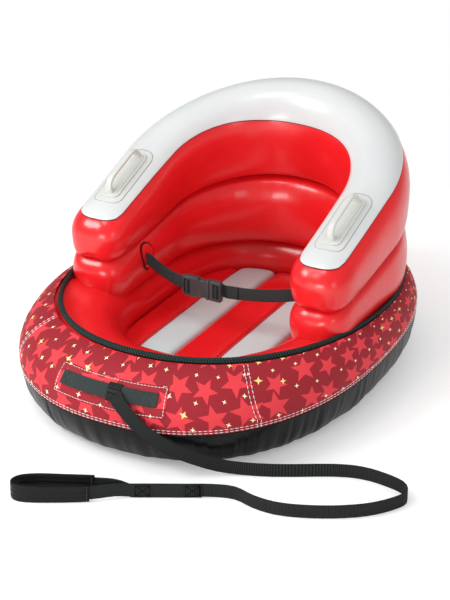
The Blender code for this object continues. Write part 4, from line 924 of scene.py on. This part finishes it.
# Printed panels: three pieces of polyester cloth, crimson with a coral star print and small yellow
# sparkles, sewn to each other at the back and at two slanting seams in front.
def star_field(tree, place, nearest, grid, points, waist, sizes, swing):
    """How deep a place is inside a star, and that star's centre: one star in each cell of a loose grid."""
    cell, shift, loose = grid
    moved = node(tree, "Mapping", {"Location": (*shift, 0), "Vector": place})
    cells = node(tree, "TexVoronoi", {"Scale": 1 / cell, "Randomness": loose, "Vector": moved},
                 voronoi_dimensions="2D", feature=nearest)
    local = node(tree, "VectorMath", {0: moved, 1: cells.outputs["Position"]}, operation="SUBTRACT")
    reach = node(tree, "VectorMath", {0: local}, operation="LENGTH")
    axes = node(tree, "SeparateXYZ", {0: local})
    chance = node(tree, "SeparateColor", {0: cells.outputs["Color"]})
    angle = node(tree, "Math", {0: axes.outputs[1], 1: axes}, operation="ARCTAN2")
    spun = node(tree, "Math", {0: chance, 1: swing, 2: angle}, operation="MULTIPLY_ADD")
    half = math.pi / points
    folded = node(tree, "Math", {0: spun, 1: half}, operation="PINGPONG")
    edge = math.atan2(1 - waist * math.cos(half), waist * math.sin(half))
    leaned = node(tree, "Math", {0: folded, 1: edge}, operation="SUBTRACT")
    cosine = node(tree, "Math", {0: leaned}, operation="COSINE")
    metric = node(tree, "Math", {0: reach.outputs["Value"], 1: cosine}, operation="MULTIPLY")
    least, most = (size * math.cos(edge) for size in sizes)
    size = node(tree, "Math", {0: chance.outputs[1], 1: most - least, 2: least}, operation="MULTIPLY_ADD")
    depth = node(tree, "Math", {0: size, 1: metric}, operation="SUBTRACT")
    centre = node(tree, "VectorMath", {0: cells.outputs["Position"], 1: (*shift, 0)}, operation="SUBTRACT")
    return depth, centre


def star_print(name, ground, star_ink, sparkle, glint):
    """A printed twill, drawn on the cut's own metres: stars all over, and sparkles in the gaps."""
    made, tree, shader = finish_named(name, {"Roughness": 0.6, "Specular IOR Level": 0.25})
    cut = node(tree, "TexCoord").outputs["UV"]
    star_grid = (0.055, (0.0, 0.0), 0.36)
    star = (5, 0.43, (0.0215, 0.0295), TURN)
    inks = []
    for nearest in ("F2", "F1"):
        depth, _ = star_field(tree, cut, nearest, star_grid, *star)
        inks.append((node(tree, "Math", {0: depth, 1: 0.0}, operation="GREATER_THAN"), star_ink))
    for grid, sizes, ink in (
        ((0.047, (0.011, 0.004), 0.35), (0.0062, 0.0094), sparkle),
        ((0.047, (0.0345, 0.0275), 0.35), (0.0040, 0.0058), glint),
    ):
        depth, centre = star_field(tree, cut, "F1", grid, 4, 0.36, sizes, 0.5)
        for nearest in ("F2", "F1"):
            covered, _ = star_field(tree, centre, nearest, star_grid, *star)
            clear = node(tree, "Math", {0: -0.0008, 1: covered}, operation="SUBTRACT")
            open_cloth = node(tree, "Math", {0: clear, 1: 100.0}, operation="MULTIPLY")
            depth = node(tree, "Math", {0: depth, 1: open_cloth}, operation="MINIMUM")
        inks.append((node(tree, "Math", {0: depth, 1: 0.0}, operation="GREATER_THAN"), ink))
    colour = None
    for inside, ink in inks:
        mix = node(tree, "Mix", {6: linear(ground), 7: linear(ink), "Factor": inside}, data_type="RGBA")
        if colour:
            feed(mix, {6: colour})
        colour = mix.outputs[2]
    twill = node(tree, "TexWave", {"Scale": 260.0, "Distortion": 0.5, "Vector": cut},
                 bands_direction="DIAGONAL")
    bump = node(tree, "Bump", {"Strength": 0.25, "Distance": 0.0002, "Height": twill.outputs["Fac"]})
    feed(shader, {"Base Color": colour, "Normal": bump})
    return made


STAR_PRINT = star_print("star_print_cloth", "#9A1F2B", "#E03C45", "#F3DA8E", "#FAEFC9")
HEM_TURN = 0.10


def panel_face(rim_angle, girth_angle, turn, lift=0.0):
    """A point of the panels' outer face, whose slack makes slow ripples, and the way it looks."""
    end = seam_turn(girth_angle)
    down = min(max((turn - HEM_TURN) / (end - HEM_TURN), 0), 1)
    ripple = wander(girth_angle * 26, down * 2.5, 3.0)
    face = cover_normal(rim_angle, girth_angle, turn)
    rise = 0.0012 + 0.0008 * ripple * math.sin(math.pi * down) ** 0.5
    return cover_point(rim_angle, girth_angle, turn) + face * (rise + lift), face


def panel_place(run):
    def place(along, down):
        rim_angle, girth_angle = angles_at(run, along)
        end = seam_turn(girth_angle)
        return panel_face(rim_angle, girth_angle, HEM_TURN + (end - HEM_TURN) * down)[0]
    return place


def panel_spread(run):
    """Places on the cut cloth, in metres: along the girth and down from the rim."""
    steps = 160
    marks = [cover_point(*angles_at(run, i / steps), 0.75) for i in range(steps + 1)]
    lengths = [0.0]
    for a, b in zip(marks, marks[1:]):
        lengths.append(lengths[-1] + (b - a).length)
    start = {"left": 0.0, "front": 0.83, "right": 1.34}[run]

    def spread(u, v):
        index = min(int(u * steps), steps - 1)
        share = u * steps - index
        return start + lengths[index] + (lengths[index + 1] - lengths[index]) * share, -v * 0.125
    return spread


for run, columns, size in (
    ("left", 120, (0.60, 0.10)),
    ("front", 80, (0.50, 0.13)),
    ("right", 120, (0.60, 0.10)),
):
    panel = formed(f"printed_panel_{run}", columns, 30, panel_place(run), panel_spread(run), closed=False)
    thickened(panel, 0.0012, 0.0003)
    fit(panel, STAR_PRINT, "printed_cloth", f"cover_{run}_panel")


# Seam stitches: white polyester thread, two rows over the lower seam and one on each side of every side
# seam. One stitch is shaped once and laid along each row.
THREAD = moulded("white_thread", "#EFE9E6", 0.7)
LOWER_ROWS = (0.0028, 0.0075)
SIDE_OFFSET = 0.0036
ON_CLOTH = 0.0003

clear_selection()
bpy.ops.mesh.primitive_cylinder_add(vertices=6, radius=0.5, depth=1, rotation=(0, QUARTER, 0))
stitch = bpy.context.object
bpy.ops.object.transform_apply(location=True, rotation=True, scale=True)
edit_all((bpy.ops.mesh.subdivide, {"number_cuts": 1}))
for point in stitch.data.vertices:
    sink = abs(2 * point.co.x) ** 4
    point.co.y *= 1 - 0.4 * sink
    point.co.z = point.co.z * (1 - 0.4 * sink) + 0.25 - 0.5 * sink
STITCH = stitch.data.copy()
bpy.data.objects.remove(stitch)


def sew(name, rows, pitch=0.0088, length=0.0066, width=0.0013):
    """Lays stitches along rows of (point, normal) pairs and returns them as one piece."""
    made = bmesh.new()
    for row in rows:
        travelled, due = 0.0, pitch / 2
        for (a, face), (b, _) in zip(row, row[1:]):
            step = (b - a).length
            while step and travelled + step >= due:
                at = a.lerp(b, (due - travelled) / step)
                run = (b - a).normalized()
                across = face.cross(run).normalized()
                turned = Matrix((run * length, across * width, run.cross(across) * width)).transposed()
                copy = STITCH.copy()
                copy.transform(Matrix.Translation(at) @ turned.to_4x4())
                made.from_mesh(copy)
                bpy.data.meshes.remove(copy)
                due += pitch
            travelled += step
    mesh = bpy.data.meshes.new(name)
    made.to_mesh(mesh)
    made.free()
    mesh.shade_smooth()
    return placed(name, mesh)


def metres_per_turn(rim_angle, girth_angle, turn, step):
    """How long the cover is from turn to turn, measured over a step."""
    here, there = (cover_point(rim_angle, girth_angle, t) for t in (turn, turn + step))
    return (there - here).length / abs(step)


def seam_row(run, distance):
    """A row on a panel, this far above its lower seam."""
    row = []
    for i in range(401):
        rim_angle, girth_angle = angles_at(run, i / 400)
        end = seam_turn(girth_angle)
        turn = end - distance / metres_per_turn(rim_angle, girth_angle, end, -0.05)
        row.append(panel_face(rim_angle, girth_angle, turn, ON_CLOTH))
    return row


def side_row(run, share, offset):
    """A row down a slanting seam, this far to its side."""
    row = []
    for i in range(81):
        rim_angle, girth_angle = angles_at(run, share)
        turn = HEM_TURN + 0.03 + (seam_turn(girth_angle) - HEM_TURN - 0.05) * i / 80
        beside = cover_run(rim_angle, girth_angle, turn).normalized()
        point, face = panel_face(rim_angle, girth_angle, turn, ON_CLOTH)
        row.append((point + beside * offset, face))
    return row


lower_rows = [seam_row(run, distance) for run in RUNS for distance in LOWER_ROWS]
side_rows = [side_row(run, share, SIDE_OFFSET * (1 - 2 * share)) for run, share in (
    ("front", 0), ("left", 1), ("front", 1), ("right", 0), ("left", 0), ("right", 1),
)]
for name, rows in (("stitches_lower_seam", lower_rows), ("stitches_side_seams", side_rows)):
    fit(sew(name, rows), THREAD, "printed_cloth")


# Rim hem: a ribbed elastic binding folded over the cord in the rim, dark teal, with a painted highlight of
# lighter teal on its ribs and painted shade of near black in its grooves. It pulls the cover tight round the
# chair.
def hem_tape(name):
    """Ribbed binding: slanting ribs, 4.6 mm apart, painted lighter teal on top as a highlight, with painted
    shade of near black in the grooves between them.
    """
    made, tree, shader = finish_named(name, {"Roughness": 0.55, "Specular IOR Level": 0.4})
    cut = node(tree, "TexCoord").outputs["UV"]
    slant = node(tree, "Mapping", {"Rotation": (0, 0, math.radians(32)), "Vector": cut})
    ribs = node(tree, "TexWave", {"Scale": WAVE / 0.0046, "Distortion": 0.2, "Vector": slant},
                bands_direction="X")
    # Painted highlight and shade: the ribs' crowns are teal and the grooves between them near black.
    ramp = node(tree, "ValToRGB", {"Fac": ribs.outputs["Fac"]})
    ramp.color_ramp.elements[0].color = linear("#070D0D")
    ramp.color_ramp.elements[1].color = linear("#244A47")
    bump = node(tree, "Bump", {"Strength": 1.0, "Distance": 0.0012, "Height": ribs.outputs["Fac"]})
    feed(shader, {"Base Color": ramp, "Normal": bump})
    return made


HEM_TAPE = hem_tape("ribbed_hem_tape")


def hem_skin(along, around):
    angle = -3 * QUARTER + 4 * QUARTER * along
    centre = rim_point(angle) - cover_normal(angle, angle, 0.1) * 0.0006
    run = (rim_point(angle + STEP) - rim_point(angle - STEP)).normalized()
    down = (cover_point(angle, angle, 0.12) - rim_point(angle)).normalized()
    square = run.cross(down).normalized()
    turn = TURN * around
    radius = 0.0054 + 0.0007 * math.cos(6 * turn)
    return centre + (down * math.cos(turn) + square * math.sin(turn)) * radius


hem = formed("rim_hem_tape", 280, 36, hem_skin, cut_to(2.1, 0.036))
fit(hem, HEM_TAPE, "hem_tape", "rim_hem", "rim_elastic_cord")


# Tow point: a second layer of the printed cloth with a stitched outline, a webbing bar sewn over it at both
# ends with a crossed box, the leash's eye round the bar, and a backing of black cloth inside the panel.
TOW_HEIGHT = 0.130
# Along the bar: x, and how far it stands off its seat
TOW_X = (-0.095, -0.083, -0.0825, -0.070, -0.036, -0.002, 0.038, 0.070, 0.0825, 0.083, 0.095)
TOW_LIFT = (0.0, 0.0, 0.0, 0.0004, 0.0034, 0.0045, 0.0045, 0.0004, 0.0, 0.0, 0.0)
TOW_TURN = math.acos((TOW_HEIGHT - GIRTH) / (rim_point(-QUARTER).z - GIRTH)) / QUARTER


def tow_face(x, down=0.0, lift=0.0):
    """A place on the front panel at this x, this far down from the bar's middle."""
    angle = -math.acos(min(abs(x) / HALF_WIDTH, 1) ** (TUB_POWER / 2))
    if x < 0:
        angle = -math.pi - angle
    return panel_face(angle, angle, TOW_TURN + down / metres_per_turn(angle, angle, TOW_TURN, 0.05), lift)


bar_run = [tow_face(x, 0, 0.0011 + rise) for x, rise in zip(TOW_X, TOW_LIFT)]
bar_route = smooth_route([place for place, _ in bar_run], 5)
bar_faces = [face.normalized() for face in smooth_route([face for _, face in bar_run], 5)]
bar = strap("tow_bar_webbing", bar_route, bar_faces, WEBBING_WIDTH, WEBBING_THICKNESS)
fit(bar, BELT_WEBBING, "webbing", "tow_bar")


TOW_PATCH_LEFT = -0.107
TOW_PATCH_TOP = -0.0245
TOW_PATCH_LENGTH = 0.217
TOW_PATCH_DEPTH = 0.055


def tow_patch_place(u, v):
    return tow_face(TOW_PATCH_LEFT + TOW_PATCH_LENGTH * u, TOW_PATCH_TOP + TOW_PATCH_DEPTH * v, 0.0008)[0]


def tow_patch_spread(u, v):
    """Places on the print that differ from the panel's behind."""
    return 2.31 + TOW_PATCH_LENGTH * u, 0.31 - TOW_PATCH_DEPTH * v


patch = formed("tow_patch_cloth", 44, 12, tow_patch_place, tow_patch_spread, closed=False)
thickened(patch, 0.0008, 0.0002)
fit(patch, STAR_PRINT, "printed_cloth")


def straight_rows(corners, steps, place, *settings):
    """Rows of places along the straight lines from corner to corner."""
    rows = []
    for (a, c), (b, d) in zip(corners, corners[1:]):
        shares = [i / steps for i in range(steps + 1)]
        rows.append([place(a + (b - a) * s, c + (d - c) * s, *settings) for s in shares])
    return rows


patch_corners = ((-0.104, -0.0215), (0.107, -0.0215), (0.107, 0.0275), (-0.104, 0.0275), (-0.104, -0.0215))
patch_rows = straight_rows(patch_corners, 40, tow_face, 0.0011)
fit(sew("stitches_tow_patch", patch_rows, 0.0062, 0.0048, 0.0011), THREAD, "printed_cloth")

BAR_THREAD = moulded("bar_thread", "#56655F", 0.7)
CROSSED_BOX = ((0, -1), (1, -1), (1, 1), (0, 1), (0, -1), (1, 1), (1, -1), (0, 1))
cross_rows = []
for start in (-0.0925, 0.0725):
    corners = [(start + 0.020 * along, 0.010 * up) for along, up in CROSSED_BOX]
    cross_rows += straight_rows(corners, 8, tow_face, 0.0021)
fit(sew("stitches_tow_bar", cross_rows, 0.0026, 0.0022, 0.0006), BAR_THREAD, "webbing")

# The eye's place and directions are those of its solid
EYE_CENTRE = Vector((0.0176, -0.4110, 0.1333))
EYE_ALONG = Vector((0.9994, 0.0347, -0.0007))
EYE_DOWN = Vector((0.0199, -0.5883, -0.8084))
EYE_FACE = Vector((0.0260, -0.8080, 0.5886))
eye_loop = []
for i in range(48):
    around = superellipse(0.0151, 0.00255, 4, TURN * i / 48)
    eye_loop.append(EYE_CENTRE + EYE_DOWN * around.x + EYE_FACE * around.y)
eye_faces = [t.cross(EYE_ALONG).normalized() for t in tangents(eye_loop, closed=True)]
eye = strap("leash_eye_webbing", eye_loop, eye_faces, WEBBING_WIDTH, LEASH_THICKNESS, closed=True)
fit(eye, LEASH_WEBBING, "webbing", "leash_eye")


def backing_skin(along, down):
    rim_angle, girth_angle = angles_at("front", 0.36 + 0.28 * along)
    turn = 0.33 + 0.45 * down
    return cover_point(rim_angle, girth_angle, turn) - cover_normal(rim_angle, girth_angle, turn) * 0.0016


backing = formed("tow_backing_cloth", 24, 8, backing_skin, cut_to(0.2, 0.06), closed=False)
thickened(backing, 0.0010)
fit(backing, BLACK_COAT, "black_cloth", "tow_reinforcement")


# Leash: a strap of the same webbing that hangs from the eye, lies on its edge on the floor and comes back
# to a sewn hand loop. The photograph's drawn break in it is closed with a gentle bend.
LAYER = 0.0026
# The strap and the loop stand on the floor on their edges, so their middles keep one height there
STAND = 0.0128
LOOP_STAND = 0.0156
HANGING = (
    (0.0220, -0.4175, 0.1330), (0.0375, -0.4256, 0.1218), (0.0544, -0.4285, 0.1085),
    (0.0745, -0.4270, 0.0896), (0.1003, -0.4220, 0.0725), (0.1297, -0.4090, 0.0521),
    (0.1670, -0.3860, 0.0320), (0.2068, -0.3580, 0.0155),
)
STANDING = (
    (0.2750, -0.3280), (0.3620, -0.2800), (0.4080, -0.2650), (0.4500, -0.2660), (0.4870, -0.2760),
    (0.5030, -0.2990), (0.4920, -0.3290), (0.4620, -0.3660), (0.4190, -0.3970), (0.3720, -0.4200),
    (0.3300, -0.4320), (0.2900, -0.4310), (0.2520, -0.4220), (0.2150, -0.4330), (0.1700, -0.4570),
    (0.1300, -0.4780), (0.0990, -0.4950),
)
HAND_LOOP = (
    (0.0780, -0.5110), (0.0450, -0.5400), (0.0000, -0.5680), (-0.0400, -0.5890), (-0.0620, -0.5940),
    (-0.0740, -0.5850), (-0.0700, -0.5680), (-0.0480, -0.5510), (-0.0100, -0.5330), (0.0380, -0.5110),
    (0.0720, -0.4990),
)
run = smooth_route([*HANGING, *((x, y, STAND) for x, y in STANDING)], 3)
tail = [point - side_of(t) * LAYER for point, t in zip(run, tangents(run))][-9:]
tail.reverse()
loop = smooth_route([run[-1], *((x, y, LOOP_STAND) for x, y in HAND_LOOP), tail[0]], 3)
leash_route = run[:-1] + loop[:-1] + tail
leash_faces = []
for index, tangent in enumerate(tangents(leash_route)):
    share = min(index / 12, 1)
    face = EYE_FACE * (1 - share) + side_of(tangent) * share
    leash_faces.append((face - tangent * face.dot(tangent)).normalized())
leash = strap("leash_webbing", leash_route, leash_faces, WEBBING_WIDTH, LEASH_THICKNESS)
fit(leash, LEASH_WEBBING, "webbing", "leash")

DARK_THREAD = moulded("dark_thread", "#020202", 0.8, 0.05)


def tail_face(distance, height):
    """A place on the outer side of the leash's sewn-down end, this far along it."""
    for a, b in zip(tail, tail[1:]):
        step = (b - a).length
        if distance <= step or b is tail[-1]:
            break
        distance -= step
    outward = side_of((b - a).normalized())
    return a.lerp(b, distance / step) + outward * 0.0012 + Vector((0, 0, height)), outward


box_rows = []
for start in (0.006, length_of(tail) - 0.027):
    corners = [(start + 0.024 * along, 0.0095 * up) for along, up in CROSSED_BOX]
    box_rows += straight_rows(corners, 8, tail_face)
leash_stitches = fit(sew("stitches_leash_end", box_rows, 0.0034, 0.0031, 0.0014), DARK_THREAD, "webbing")


# Grip sleeve: a padded tube of black cloth round the hand loop, quilted by two stitched grooves along it
# and hemmed at both ends with grey thread. It is part of the leash's cord.
SLEEVE_CLOTH = coated_cloth("sleeve_cloth", "#151516", 0.42, 0.2)
SLEEVE_WIDTH = 0.0306
SLEEVE_THICKNESS = 0.0076
covered = slice(len(run) + 5, len(run) + 30)
sleeve_route, sleeve_faces = leash_route[covered], leash_faces[covered]
sleeve = strap("grip_sleeve_cloth", sleeve_route, sleeve_faces, SLEEVE_WIDTH, SLEEVE_THICKNESS, columns=72,
               groove=0.24)
fit(sleeve, SLEEVE_CLOTH, "hem_tape", "leash_grip_sleeve")

HEM_THREAD = moulded("sleeve_hem_thread", "#55585A", 0.7)
hem_rows = []
for end, inner, side in ((0, 1, -1), (-1, -2, 1)):
    outward = sleeve_faces[end] * side
    place = sleeve_route[end].lerp(sleeve_route[inner], 0.25) + outward * 0.0039
    hem_rows.append([(place + Vector((0, 0, 0.0130 * (i / 6 - 1))), outward) for i in range(13)])
sleeve_stitches = fit(sew("stitches_sleeve_ends", hem_rows, 0.0030, 0.0022, 0.0009), HEM_THREAD, "webbing")
leash_length = length_of(leash_route)
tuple(leash_route[0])
